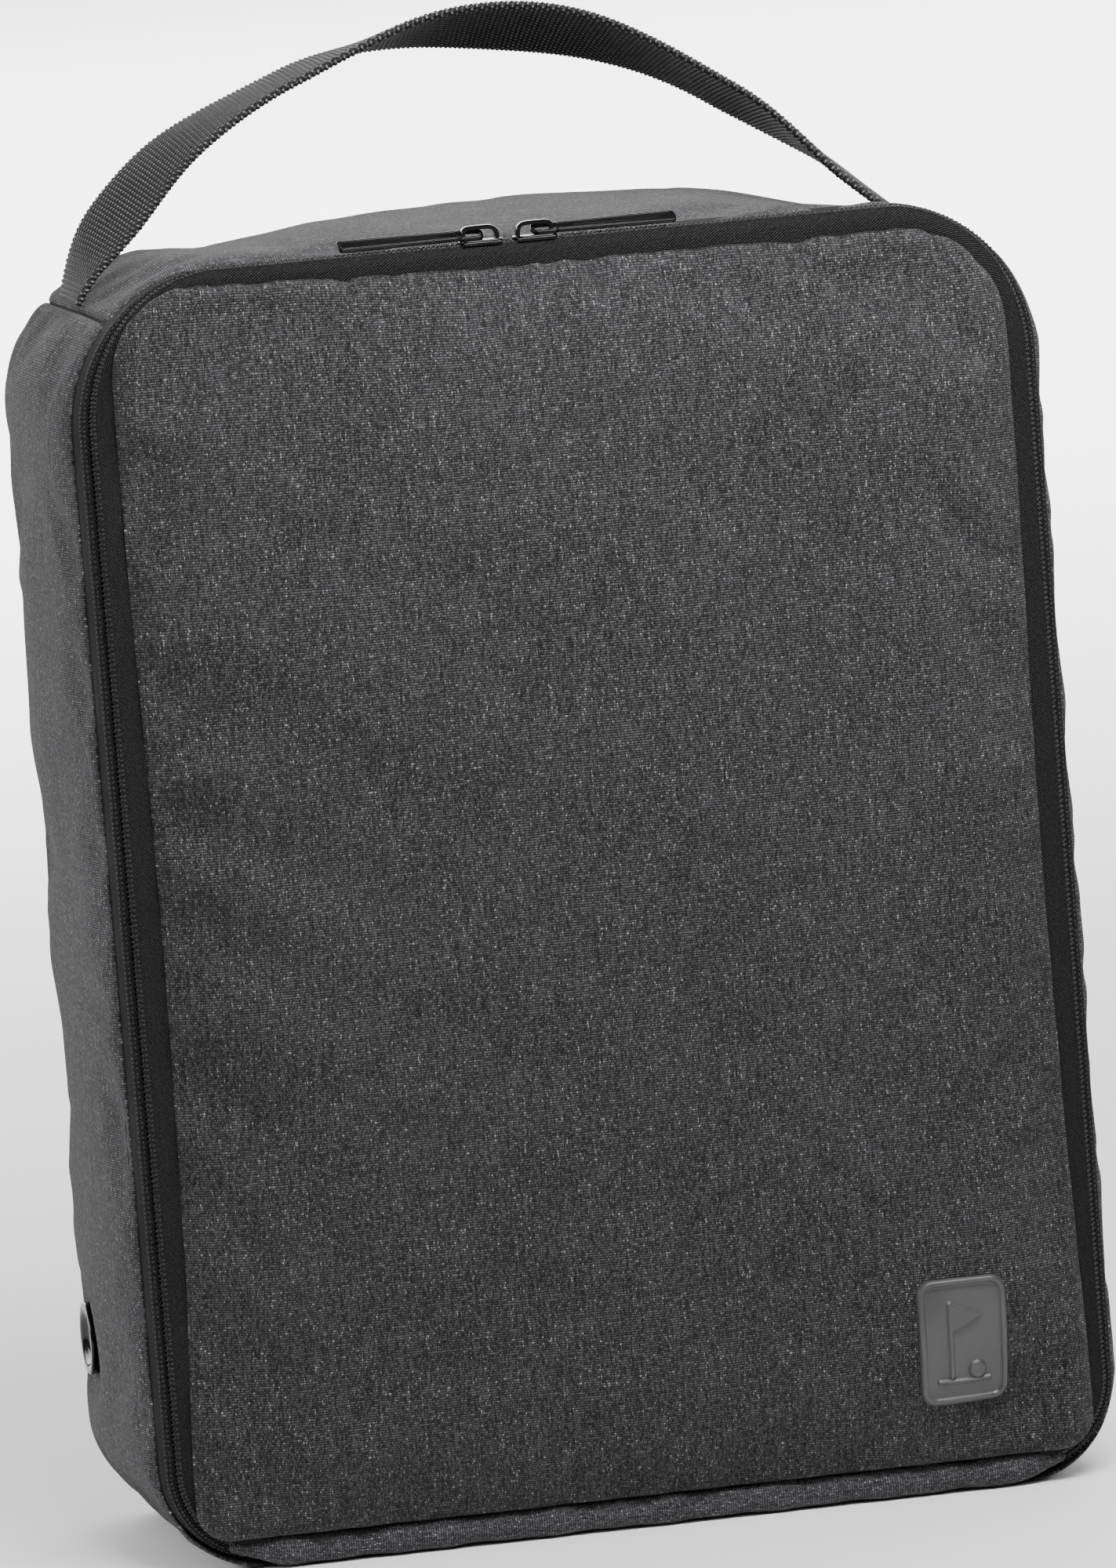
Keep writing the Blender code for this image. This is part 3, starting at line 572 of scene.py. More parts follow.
def gusset_surface():
    """The gusset's outer cloth: round the rim and from the front seam to the back seam."""
    step_along, rows = 3.1 * MM, 35
    along = np.linspace(0, RIM.length, int(RIM.length / step_along), endpoint=False)
    for place in (LEFT_SHOULDER, RIGHT_SHOULDER):
        along = along[np.abs(along - place) > 2.4 * MM]
        along = np.concatenate([along, place + np.array((-1.8, -0.8, 0.0, 0.8, 1.8)) * MM])
    along = np.sort(along)[None, :]
    columns = along.shape[1]
    depth = np.linspace(0, 1, rows)[:, None]
    top, floor = RIM.top_share(along), RIM.floor_share(along)
    wall = (1 - top) * (1 - floor)
    x, z, nx, nz = RIM.at(along)
    start = FRONT + (12.9 + 3.2 * top - 7.0 * floor) * MM
    y = start + (BACK - 0.4 * MM - start) * depth
    middle = np.sin(pi * np.clip(depth, 0, 1)) ** 0.8
    left = np.where(x < 0, 1.0, 0.0)
    out = wall * (0.4 + 1.6 * left) * MM * middle
    out = out + top * 0.9 * MM * middle
    rear = np.clip((depth - 0.93) / 0.07, 0, 1)
    out = out - 3.0 * MM * rear ** 2.2 * (1 - 0.35 * floor)
    near = np.exp(-depth * 108 / 2.2)
    out = out - 0.8 * MM * near * (1 - floor)
    for place, side in ((LEFT_SHOULDER, 1.0), (RIGHT_SHOULDER, 0.5)):
        away = (along - place) / MM
        inside = away * (1 if place == LEFT_SHOULDER else -1)
        puff = np.exp(-((inside + 14) / 9) ** 2) * 1.6 * MM * middle
        groove = np.exp(-np.abs(away) / 0.9) * 1.3 * MM
        dip = np.exp(-((inside - 10) / 12) ** 2) * 1.7 * MM * middle
        out = out + side * (puff - groove - dip)
    eyelet_low, eyelet_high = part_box("eyelet_left")
    eyelet = (eyelet_low + eyelet_high) / 2
    before = np.where(y < eyelet.y, 0.55, 1.0)
    calm = smooth((np.hypot((y - eyelet.y) * before, z - eyelet.z) - 10.5 * MM) / (11 * MM))
    out = out * calm
    points = np.empty((rows, columns, 3))
    points[..., 0] = x + nx * out
    points[..., 1] = y
    crown = top_crest(x)
    points[..., 2] = z + nz * out + top * smooth(depth * 1.2) * crown
    weave = np.zeros_like(points)
    weave[..., 0] = y
    weave[..., 1] = along
    sewn = np.zeros((rows, columns), bool)
    sewn[[0, -1], :] = True
    for place in (LEFT_SHOULDER, RIGHT_SHOULDER):
        sewn[:, np.abs(along[0] - place) < 2 * MM] = True
    sewn[:, np.broadcast_to(floor > 0.6, (rows, columns))[0]] = True
    start_points = points.copy()
    points = swell(points, True, sewn, 1.6, 0.016, 2.0 * MM)
    points = start_points + (points - start_points) * calm[..., None]
    folds = waves(weave / MM, 7, 9, 95, 34) * 0.45 * MM * middle * (1 - floor) * calm
    folds += waves(weave / MM, 12, 5, 190, 110) * 0.9 * MM * middle * wall * calm
    points[..., 0] += nx * folds
    points[..., 2] += nz * folds
    return sag(points), weave, along[0]


def inward(points, wrap):
    """Unit normals of a grid, pointing to its inner side."""
    if wrap:
        along = np.roll(points, -1, 1) - np.roll(points, 1, 1)
    else:
        along = np.gradient(points, axis=1)
    normal = np.cross(np.gradient(points, axis=0), along)
    normal /= np.maximum(np.linalg.norm(normal, axis=-1, keepdims=True), 1e-12)
    return normal


def build_gusset(cloth):
    points, weave, along = gusset_surface()
    normal = inward(points, True)
    centre = np.array((0.0, 0.0, HEIGHT / 2))
    if np.mean(np.sum(normal * (points - centre), -1)) > 0:
        normal = -normal
    rows = len(points)
    edge = np.minimum(np.arange(rows), np.arange(rows)[::-1])[:, None] / 5
    thickness = (1.0 + 2.6 * smooth(edge)) * MM
    inner = points + normal * thickness[..., None]
    columns = points.shape[1]
    spans = (("side_wall_left", LEFT_FOOT, LEFT_SHOULDER, ("side_panel_left", "side_foam_left")),
             ("top_wall", LEFT_SHOULDER, RIGHT_SHOULDER, ("top_panel", "top_foam")),
             ("side_wall_right", RIGHT_SHOULDER, RIGHT_FOOT, ("side_panel_right", "side_foam_right")),
             ("floor_wall", RIGHT_FOOT, LEFT_FOOT + RIM.length, ("floor_panel", "floor_foam")))
    for name, low, high, replaced in spans:
        first = int(np.argmin(np.abs(along - low)))
        last = int(np.argmin(np.abs(along - high % RIM.length))) + (columns if high > RIM.length else 0)
        pick = np.arange(first, last + 1) % columns
        piece_weave = weave[:, pick].copy()
        piece_weave[..., 1] = np.where(piece_weave[..., 1] < low - RIB, piece_weave[..., 1] + RIM.length,
                                       piece_weave[..., 1])
        wall = pad_object(name, points[:, pick], inner[:, pick], piece_weave)
        subdivide(wall)
        dress(wall, cloth, "shell", "gusset_cloth", *replaced)


def plate_grid(outline_half, low, top, radii, columns, rows):
    """A grid that fills a rounded rectangle; radii run low left, low right, high left, high right."""
    u = np.linspace(-1, 1, columns)[None, :] * np.ones((rows, 1))
    v = np.linspace(0, 1, rows)[:, None] * np.ones((1, columns))
    x = u * outline_half
    z = low + v * (top - low)
    for side in (-1, 1):
        for high in (0, 1):
            radius = radii[high * 2 + (side > 0)]
            centre_x = side * (outline_half - radius)
            centre_z = (top - radius) if high else (low + radius)
            a = (x - centre_x) * side / radius
            b = (z - centre_z) * (1 if high else -1) / radius
            corner = (a > 0) & (b > 0)
            round_a = a * np.sqrt(np.clip(1 - b * b / 2, 0, 1))
            round_b = b * np.sqrt(np.clip(1 - a * a / 2, 0, 1))
            x = np.where(corner, centre_x + side * radius * round_a, x)
            z = np.where(corner, centre_z + (1 if high else -1) * radius * round_b, z)
    return x, z


def edge_distance(x, z, half, low, top, radii):
    """How far inside the rounded rectangle's edge each point lies."""
    middle = (low + top) / 2
    radius = np.where(z > middle, np.where(x > 0, radii[3], radii[2]), np.where(x > 0, radii[1], radii[0]))
    qx = np.abs(x) - (half - radius)
    qz = np.abs(z - middle) - ((top - low) / 2 - radius)
    beyond = np.hypot(np.maximum(qx, 0), np.maximum(qz, 0))
    return radius - beyond - np.minimum(np.maximum(qx, qz), 0)


PANEL_RADII = (PANEL_LOW_RADIUS, PANEL_LOW_RADIUS, PANEL_HIGH_RADIUS - 2 * MM, PANEL_HIGH_RADIUS + 3 * MM)


def panel_warp(x, z):
    """The flap's top edge rises towards the left corner, and both sides bow a little."""
    high = smooth((z - 0.22) / 0.12)
    z = z + high * 2.4 * MM * smooth((-x - 0.02) / 0.09)
    x = x + 0.6 * MM * np.sin(z / HEIGHT * 3 * pi) * np.sign(x) * (np.abs(x) / PANEL_HALF) ** 2
    spread = np.where(x < 0, 2.8, 1.8) * MM * (1 - smooth((z - PANEL_LOW) / (85 * MM)))
    x = x + spread * np.sign(x) * (np.abs(x) / PANEL_HALF) ** 3
    return x, z


def top_gathers(x):
    """Bulges between the uneven notches of the gathered top seam, from 0 in a notch to 1."""
    beat = x / (14.5 * MM) + 0.42 * np.sin(x * 61) + 0.25 * np.sin(x * 147 + 1)
    strength = 0.65 + 0.35 * np.sin(x * 97 + 2)
    return 1 - strength * (1 - np.abs(np.sin(pi * beat)) ** 0.55)


def puckers(x, z, inside):
    """How far the seams' gathers lift the cloth: notched along the top, slower down the sides."""
    top = smooth((z - (PANEL_TOP - 30 * MM)) / (18 * MM))
    fade = np.exp(-((inside - 2.5 * MM) / (6.0 * MM)) ** 2)
    side_beat = z / (27 * MM) + 0.4 * np.sin(z * 37)
    side = (1 - top) * smooth((np.abs(x) - 0.09) / 0.02)
    low = 1 - smooth((z - 30 * MM) / (20 * MM))
    low_beat = x / (19 * MM) + 0.3 * np.sin(x * 83)
    return fade * (top * 3.2 * (top_gathers(x) - 0.7) + side * 0.35 * np.cos(2 * pi * side_beat)
                   + low * 0.5 * np.cos(2 * pi * low_beat)) * MM


def side_creases(x, z, inside):
    """Soft slanting creases that run in from the left seam."""
    run = z + 0.45 * (x + PANEL_HALF)
    beat = run / (44 * MM) + 0.35 * np.sin(run * 31)
    reach = smooth(inside / (6 * MM)) * np.exp(-np.maximum(x + PANEL_HALF, 0) / (42 * MM))
    return 1.8 * MM * np.sin(2 * pi * beat) * reach


def seat_terms(x, z):
    ones = np.ones_like(x)
    return np.stack([ones, x, z, x * x, z * z, x * z], -1)


def badge_seat(points, x, z):
    """Smooths the cloth under the badge to a gentle curve, and returns that curve's factors."""
    low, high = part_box("badge")
    beyond = np.maximum(np.abs(x - (low.x + high.x) / 2) - (high.x - low.x) / 2,
                        np.abs(z - (low.z + high.z) / 2) - (high.z - low.z) / 2)
    near = beyond < 5 * MM
    fit, *_ = np.linalg.lstsq(seat_terms(x[near], z[near]), points[..., 1][near], rcond=None)
    share = 1 - smooth((beyond - 1.5 * MM) / (9 * MM))
    points[..., 1] += (seat_terms(x, z) @ fit - points[..., 1]) * share
    return fit


def build_front(cloth):
    """The flap's padded front: cloth sewn down round its edge over a soft pad."""
    columns, rows = 91, 122
    x, z = plate_grid(PANEL_HALF, PANEL_LOW, PANEL_TOP, PANEL_RADII, columns, rows)
    inside = edge_distance(x, z, PANEL_HALF, PANEL_LOW, PANEL_TOP, PANEL_RADII)
    weave = np.stack([x, z, np.zeros_like(x)], -1)
    rise = PANEL_BULGE * (1 - (1 - np.clip(inside / PANEL_REACH, 0, 1)) ** 3.2)
    rise += PANEL_ROLL * (1 - np.exp(-np.maximum(inside, 0) / (1.6 * MM)))
    wx, wz = panel_warp(x, z)
    scallop = 2.2 * MM * (top_gathers(x) - 0.8) + 0.2 * MM * np.sin(x * 900)
    wz = wz + scallop * np.exp(-inside / (3 * MM)) * smooth((z - PANEL_TOP + 20 * MM) / (15 * MM))
    points = np.stack([wx, FRONT + 0.5 * MM - rise, wz], -1)
    sewn = inside < 1.2 * MM
    points = swell(points, False, sewn, 2.2, 0.014, 2.8 * MM)
    settle = smooth(inside / (14 * MM))
    folds = waves(weave / MM, 21, 8, 150, 60) * 0.75 * MM * settle
    points[..., 1] -= folds + puckers(x, z, inside) + side_creases(x, z, inside)
    turn = np.exp(-inside / (1.1 * MM))
    points[..., 1] += 0.9 * MM * turn
    fit = badge_seat(points, x, z)
    thickness = (1.1 * MM + (PANEL_PAD - 1.1 * MM) * smooth((inside - 1.0 * MM) / (7 * MM)))
    inner = points.copy()
    inner[..., 1] = np.minimum(FRONT + thickness, FRONT + PANEL_PAD)
    inner[..., 1] = np.maximum(inner[..., 1], points[..., 1] + 0.6 * MM)
    pad = pad_object("front_cover", points, inner, weave)
    subdivide(pad)
    dress(pad, cloth, "front_flap", "front_cloth", "front_panel", "front_foam")
    return fit


def build_back(cloth):
    """The padded back wall, nearly flat."""
    half, low, top = WIDTH / 2 - 2.6 * MM, 2.2 * MM, HEIGHT - 2.6 * MM
    radii = (LOW_RADIUS - 2 * MM, LOW_RADIUS - 2 * MM, HIGH_RADIUS - 2 * MM, HIGH_RADIUS - 2 * MM)
    x, z = plate_grid(half, low, top, radii, 61, 79)
    inside = edge_distance(x, z, half, low, top, radii)
    weave = np.stack([x, z, np.zeros_like(x)], -1)
    folds = waves(weave / MM, 5, 7, 170, 80) * 0.45 * MM
    rise = smooth(inside / (16 * MM))
    crown = top_crest(x)
    lifted = z + crown * smooth((z - 0.29) / 0.055)
    y = BACK - 1.1 * MM + (1.0 * MM + folds) * rise
    outer = sag(np.stack([x, y, lifted], -1))
    inner = outer.copy()
    inner[..., 1] = y - (1.0 + 3.2 * smooth(inside / (10 * MM))) * MM
    pad = pad_object("back_wall", outer, inner, weave)
    subdivide(pad)
    dress(pad, cloth, "shell", "gusset_cloth", "back_panel", "back_foam")


def build_welt(cloth):
    """The roll of gusset cloth under the flap, gathered at its ends."""
    box_low, box_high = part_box("front_welt")
    steps, around = 150, 20
    share = np.linspace(-1, 1, steps)[:, None]
    angle = np.linspace(0, 2 * pi, around, endpoint=False)[None, :]
    half = (box_high.x - box_low.x) / 2 + 7.5 * MM
    radius = (box_high.z - box_low.z) / 2
    end = smooth((1 - np.abs(share)) * half / (16 * MM))
    size = radius * (0.34 + 0.66 * np.sqrt(end))
    x = share * half
    gather = np.cos(x / MM * 2 * pi / 3.3) * 0.35 * MM * (1 - smooth((half - np.abs(x)) / (22 * MM)))
    slow = 0.25 * MM * np.sin(x * 190 + 1) + 0.18 * MM * np.sin(x * 421)
    size = size + gather + slow * end
    lean = 0.35 * (1 - end)
    y = (box_low.y + box_high.y) / 2 + np.cos(angle) * size * 1.05 + lean * radius
    lift = 3.4 * MM * smooth((np.abs(x) - 0.099) / 0.016)
    z = radius + 0.5 * MM + np.sin(angle) * size + lift - 1.4 * MM * (1 - end)
    z = np.maximum(z, 0.15 * MM)
    points = np.stack([x + 0 * angle, y, z], -1)
    weave = np.stack([angle * radius + 0 * x, x + 0 * angle, 0 * x + 0 * angle], -1)
    faces = grid_faces(steps, around, wrap=True).tolist()
    faces += [list(range(around)), list(range((steps - 1) * around, steps * around))]
    welt = outward(new_mesh("front_welt_roll", points.reshape(-1, 3), faces, weave.reshape(-1, 3)))
    subdivide(welt)
    dress(welt, cloth, "shell", "gusset_cloth", "front_welt")


def build_hinge_seam(binding):
    """The sewn strip that joins the flap's lower edge to the gusset behind the welt."""
    half = 0.098
    x = np.linspace(-half, half, 60)[None, :]
    path = np.array(((-0.0520, 0.0036), (-0.0530, 0.0066), (-0.0552, 0.0088), (-0.0578, 0.0100),
                     (-0.0590, 0.0118), (-0.0590, 0.0140)))
    length = np.concatenate([[0], np.cumsum(np.hypot(*np.diff(path, axis=0).T))])
    share = np.linspace(0, length[-1], 14)
    y = np.interp(share, length, path[:, 0])[:, None]
    z = np.interp(share, length, path[:, 1])[:, None]
    points = np.stack([x + 0 * y, y + 0 * x, z + 0 * x], -1)
    weave = np.stack([x + 0 * y, share[:, None] + 0 * x, 0 * x + 0 * y], -1)
    seam = sheet_object("hinge_seam", points, weave)
    thicken(seam, 0.6 * MM, 0.0)
    seam.data.materials.append(binding)
    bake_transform(seam)


# Zipper

TAPE = 0.6 * MM
COIL_PITCH = 1.35 * MM


def profile_curve(knots, count):
    """A smooth run of (inset, depth) points through a few knots, evenly spaced; in metres."""
    knots = np.asarray(knots, float) * MM
    dense = []
    for index in range(len(knots) - 1):
        before = knots[max(index - 1, 0)]
        start, end = knots[index], knots[index + 1]
        after = knots[min(index + 2, len(knots) - 1)]
        for t in np.linspace(0, 1, 20, endpoint=False):
            dense.append(0.5 * (2 * start + (end - before) * t
                                + (2 * before - 5 * start + 4 * end - after) * t ** 2
                                + (3 * start - before - 3 * end + after) * t ** 3))
    dense = np.array(dense + [knots[-1]])
    length = np.concatenate([[0], np.cumsum(np.hypot(*np.diff(dense, axis=0).T))])
    share = np.linspace(0, length[-1], count)
    return np.stack([np.interp(share, length, dense[:, 0]), np.interp(share, length, dense[:, 1])], -1), share


# (inset from the rim, depth behind the front), in millimetres, from the cloth edge to the teeth
OUTER_SIDE = ((0.4, 17.0), (1.3, 13.2), (1.7, 10.6), (2.8, 7.9), (4.45, 5.75))
OUTER_TOP = ((0.2, 20.5), (0.9, 17.0), (0.9, 13.0), (0.8, 10.0), (0.8, 7.5))
INNER_SIDE = ((13.6, 1.9), (11.0, 1.9), (8.6, 2.3), (6.6, 3.4), (4.72, 5.25))
INNER_TOP = ((8.8, 1.9), (5.6, 1.9), (2.6, 2.2), (1.0, 4.2), (0.8, 6.5))


def zip_path(side_knots, top_knots, along, count):
    """Points of a tape: rows along the rim, columns across the tape, and the outward normal there."""
    side, width_side = profile_curve(side_knots, count)
    top, width_top = profile_curve(top_knots, count)
    share = RIM.top_share(along)[:, None]
    inset = side[:, 0] * (1 - share) + top[:, 0] * share
    depth = side[:, 1] * (1 - share) + top[:, 1] * share
    width = width_side * (1 - share) + width_top * share
    x, z, nx, nz = (value[:, None] for value in RIM.at(along))
    points = np.stack([x - nx * inset, FRONT + depth, z - nz * inset], -1)
    return points, width


def surface_normals(points, towards):
    """Unit normals of a grid on the side of the given direction field."""
    normal = np.cross(np.gradient(points, axis=0), np.gradient(points, axis=1))
    normal /= np.maximum(np.linalg.norm(normal, axis=-1, keepdims=True), 1e-12)
    side = np.sum(normal * towards, -1, keepdims=True)
    return np.where(side < 0, -normal, normal)


def outward_field(along, columns):
    _, _, nx, nz = RIM.at(along)
    field = np.stack([nx, np.full_like(nx, -1.0), nz], -1)
    return np.repeat(field[:, None, :], columns, axis=1)


def tube(points, radius, sides, ahead_hint):
    """Vertices and faces of a tube along a dense path."""
    run = np.gradient(points, axis=0)
    run /= np.maximum(np.linalg.norm(run, axis=-1, keepdims=True), 1e-12)
    first = np.cross(run, ahead_hint)
    first /= np.maximum(np.linalg.norm(first, axis=-1, keepdims=True), 1e-12)
    second = np.cross(run, first)
    angle = np.linspace(0, 2 * pi, sides, endpoint=False)[None, :, None]
    ring = points[:, None] + radius * (np.cos(angle) * first[:, None] + np.sin(angle) * second[:, None])
    faces = grid_faces(len(points), sides, wrap=True).tolist()
    faces += [list(range(sides)), list(range((len(points) - 1) * sides, len(points) * sides))]
    return ring.reshape(-1, 3), faces


def beads(places, runs, outs, size):
    """Many small rounded stitches as one mesh; size is (length, width, height)."""
    ball = bmesh.new()
    bmesh.ops.create_icosphere(ball, subdivisions=1, radius=0.5)
    shape = np.array([vert.co for vert in ball.verts])
    faces = np.array([[vert.index for vert in face.verts] for face in ball.faces])
    ball.free()
    sides = np.cross(runs, outs)
    vertices = (places[:, None] + shape[None, :, 0:1] * runs[:, None] * size[0]
                + shape[None, :, 1:2] * sides[:, None] * size[1]
                 + shape[None, :, 2:3] * outs[:, None] * size[2])
    steps = (np.arange(len(places)) * len(shape))[:, None, None]
    return vertices.reshape(-1, 3), (faces[None] + steps).reshape(-1, 3)


def zip_half(label, side_knots, top_knots, ends, body, twill, thread, coil):
    """One half of the zipper: its tape, the ridge over the coil, the coil and the stitches."""
    start, stop = ends
    along = np.linspace(start, stop, int((stop - start) / (2.2 * MM)))
    columns = 15
    points, width = zip_path(side_knots, top_knots, along, columns)
    normal = surface_normals(points, outward_field(along, columns))
    to_teeth = width[:, -1:] - width
    ridge = np.exp(-((to_teeth - 2.0 * MM) / (1.15 * MM)) ** 2)
    dip = np.exp(-(to_teeth / (0.5 * MM)) ** 2)
    points = points + normal * (ridge * 0.55 - dip * 0.35)[..., None] * MM
    weave = np.stack([np.repeat(along[:, None], columns, 1), width, 0 * width], -1)
    tape = sheet_object(f"zipper_tape_{label}_woven", points, weave)
    if np.sum(surface_normals(points, outward_field(along, columns))[3, 3]
              * np.array(tape.data.polygons[3 * (columns - 1) + 3].normal)) < 0:
        tape.data.flip_normals()
    thicken(tape, TAPE)
    subdivide(tape)
    dress(tape, twill, body, "zipper_tape", "zipper_tape_" + label)

    count = int((stop - start) / COIL_PITCH)
    spots = np.linspace(start + COIL_PITCH, stop - COIL_PITCH, count)
    lane, lane_width = zip_path(side_knots, top_knots, spots, columns)
    lane_normal = surface_normals(lane, outward_field(spots, columns))
    lane_left = lane_width[:, -1:] - lane_width
    run = np.gradient(lane[:, -2], axis=0)
    run /= np.linalg.norm(run, axis=-1, keepdims=True)
    rng = np.random.default_rng(3 if label == "outer" else 4)
    stitches = []
    for distance, width_bead in ((1.0 * MM, 1.15 * MM), (2.15 * MM, 1.05 * MM)):
        share = np.array([np.interp(-distance, -row, np.arange(columns)) for row in lane_left])
        low = np.clip(share.astype(int), 0, columns - 2)
        part = (share - low)[:, None]
        index = np.arange(count)
        place = lane[index, low] * (1 - part) + lane[index, low + 1] * part
        out = lane_normal[index, low]
        lift = np.exp(-((distance - 2.0 * MM) / (1.15 * MM)) ** 2) * 0.55 * MM
        place = place + out * (lift + 0.05 * MM) + run * rng.normal(0, 0.12 * MM, (count, 1))
        across = np.cross(run, out)
        slant = run * 0.35 + across * 0.94
        stitches.append(beads(place, slant, out, (width_bead, 0.72 * MM, 0.42 * MM)))
    first, second = stitches
    vertices = np.vstack([first[0], second[0]])
    faces = np.vstack([first[1], second[1] + len(first[0])])
    weave_beads = np.stack([vertices[:, 0] + vertices[:, 1], vertices[:, 2], 0 * vertices[:, 0]], -1)
    sewing = new_mesh(f"zipper_stitches_{label}", vertices, faces, weave_beads)
    dress(sewing, thread, body, "zipper_tape")

    turns = int((stop - start) / COIL_PITCH)
    dense = np.linspace(start + 2 * MM, stop - 2 * MM, turns * 9)
    lane, lane_width = zip_path(side_knots, top_knots, dense, columns)
    lane_normal = surface_normals(lane, outward_field(dense, columns))
    run = np.gradient(lane[:, -2], axis=0)
    run /= np.linalg.norm(run, axis=-1, keepdims=True)
    out = lane_normal[:, -2]
    across = np.cross(run, out)
    toward = lane[:, -1] - lane[:, -3]
    across = np.where(np.sum(across * toward, -1, keepdims=True) < 0, -across, across)
    phase = (dense - start) / COIL_PITCH * 2 * pi
    centre = lane[:, -1] - across * 1.0 * MM - out * 1.15 * MM
    helix = centre + across * (np.cos(phase) * 1.35 * MM)[:, None]
    helix = helix + out * (np.sin(phase) * 0.55 * MM)[:, None]
    vertices, faces = tube(helix, 0.27 * MM, 5, run)
    spiral = new_mesh(f"zipper_coil_{label}_spiral", vertices, faces)
    dress(spiral, coil, body, "zipper_coil", "zipper_coil_" + label)


def build_zipper(twills, thread, coil):
    low_corner = RIM.marks[1] + 0.02 * LOW_RADIUS
    outer_ends = (low_corner, RIM.length - low_corner)
    inner_start = RIM.marks[1] + 0.10 * LOW_RADIUS
    zip_half("outer", OUTER_SIDE, OUTER_TOP, outer_ends, "shell", twills[0], thread, coil)
    zip_half("inner", INNER_SIDE, INNER_TOP, (inner_start, RIM.length - inner_start), "front_flap", twills[1],
             thread, coil)


# Metal trims

PULL_TILT = radians(24)
EYELET_HOLE = 5.0 * MM


def union_box(name, size, place, bevel, segments=3):
    """A rounded block as its own mesh data, for joining into a trim."""
    bm = bmesh.new()
    bmesh.ops.create_cube(bm, size=1.0)
    bmesh.ops.scale(bm, vec=size, verts=bm.verts)
    bmesh.ops.bevel(bm, geom=bm.edges[:], offset=bevel, segments=segments, profile=0.5, affect="EDGES",
                    clamp_overlap=True)
    bmesh.ops.translate(bm, vec=place, verts=bm.verts)
    mesh = bpy.data.meshes.new(name)
    bm.to_mesh(mesh)
    bm.free()
    return mesh


def plate_mesh(name, outline, thickness, place, bevel):
    """A flat plate from an outline in x and y, with rounded rims."""
    bm = bmesh.new()
    verts = [bm.verts.new((x, y, -thickness / 2)) for x, y in outline]
    face = bm.faces.new(verts)
    grown = bmesh.ops.extrude_face_region(bm, geom=[face])
    tops = [item for item in grown["geom"] if isinstance(item, bmesh.types.BMVert)]
    bmesh.ops.translate(bm, vec=(0, 0, thickness), verts=tops)
    bmesh.ops.recalc_face_normals(bm, faces=bm.faces)
    rims = [edge for edge in bm.edges if abs(edge.verts[0].co.z - edge.verts[1].co.z) < thickness / 2]
    bmesh.ops.bevel(bm, geom=rims, offset=bevel, segments=3, profile=0.5, affect="EDGES", clamp_overlap=True)
    bmesh.ops.translate(bm, vec=place, verts=bm.verts)
    mesh = bpy.data.meshes.new(name)
    bm.to_mesh(mesh)
    bm.free()
    return mesh


def join(name, meshes):
    """One object from several meshes."""
    bm = bmesh.new()
    for mesh in meshes:
        bm.from_mesh(mesh)
        bpy.data.meshes.remove(mesh)
    mesh = bpy.data.meshes.new(name)
    bm.to_mesh(mesh)
    bm.free()
    mesh.polygons.foreach_set("use_smooth", [True] * len(mesh.polygons))
    mesh.set_sharp_from_angle(angle=radians(42))
    made = bpy.data.objects.new(name, mesh)
    bpy.context.scene.collection.objects.link(made)
    return made


def slider_outline(length, width, nose):
    """A slider plate: broad at the nose where the tapes part, narrower at the tail, all rounded."""
    points = []
    half = length / 2
    for index in range(40):
        angle = 2 * pi * index / 40
        c, s = cos(angle), sin(angle)
        x = abs(c) ** 0.55 * (1 if c > 0 else -1) * half
        y = abs(s) ** 0.55 * (1 if s > 0 else -1) * width / 2
        narrow = 1 - 0.26 * float(smooth((0.5 - x * nose / length) * 1.1))
        points.append((x, y * narrow))
    return points


def sweep_mesh(name, path, width, thickness, axis):
    """A flat band swept along a path, its width along the given axis, with rounded corners."""
    path = np.asarray(path, float)
    run = np.gradient(path, axis=0)
    run /= np.linalg.norm(run, axis=-1, keepdims=True)
    axis = np.asarray(axis, float)
    out = np.cross(run, axis)
    section = []
    for index in range(16):
        angle = 2 * pi * index / 16
        c, s = cos(angle), sin(angle)
        section.append((abs(c) ** 0.5 * np.sign(c) * width / 2, abs(s) ** 0.5 * np.sign(s) * thickness / 2))
    rings = np.stack([path + a * axis + b * out for a, b in section], 1)
    count = len(path)
    faces = grid_faces(count, 16, wrap=True).tolist()
    faces += [list(range(16)), list(range((count - 1) * 16, count * 16))]
    mesh = bpy.data.meshes.new(name)
    mesh.from_pydata(rings.reshape(-1, 3).tolist(), [], faces)
    bm = bmesh.new()
    bm.from_mesh(mesh)
    bmesh.ops.recalc_face_normals(bm, faces=bm.faces)
    bm.to_mesh(mesh)
    bm.free()
    return mesh


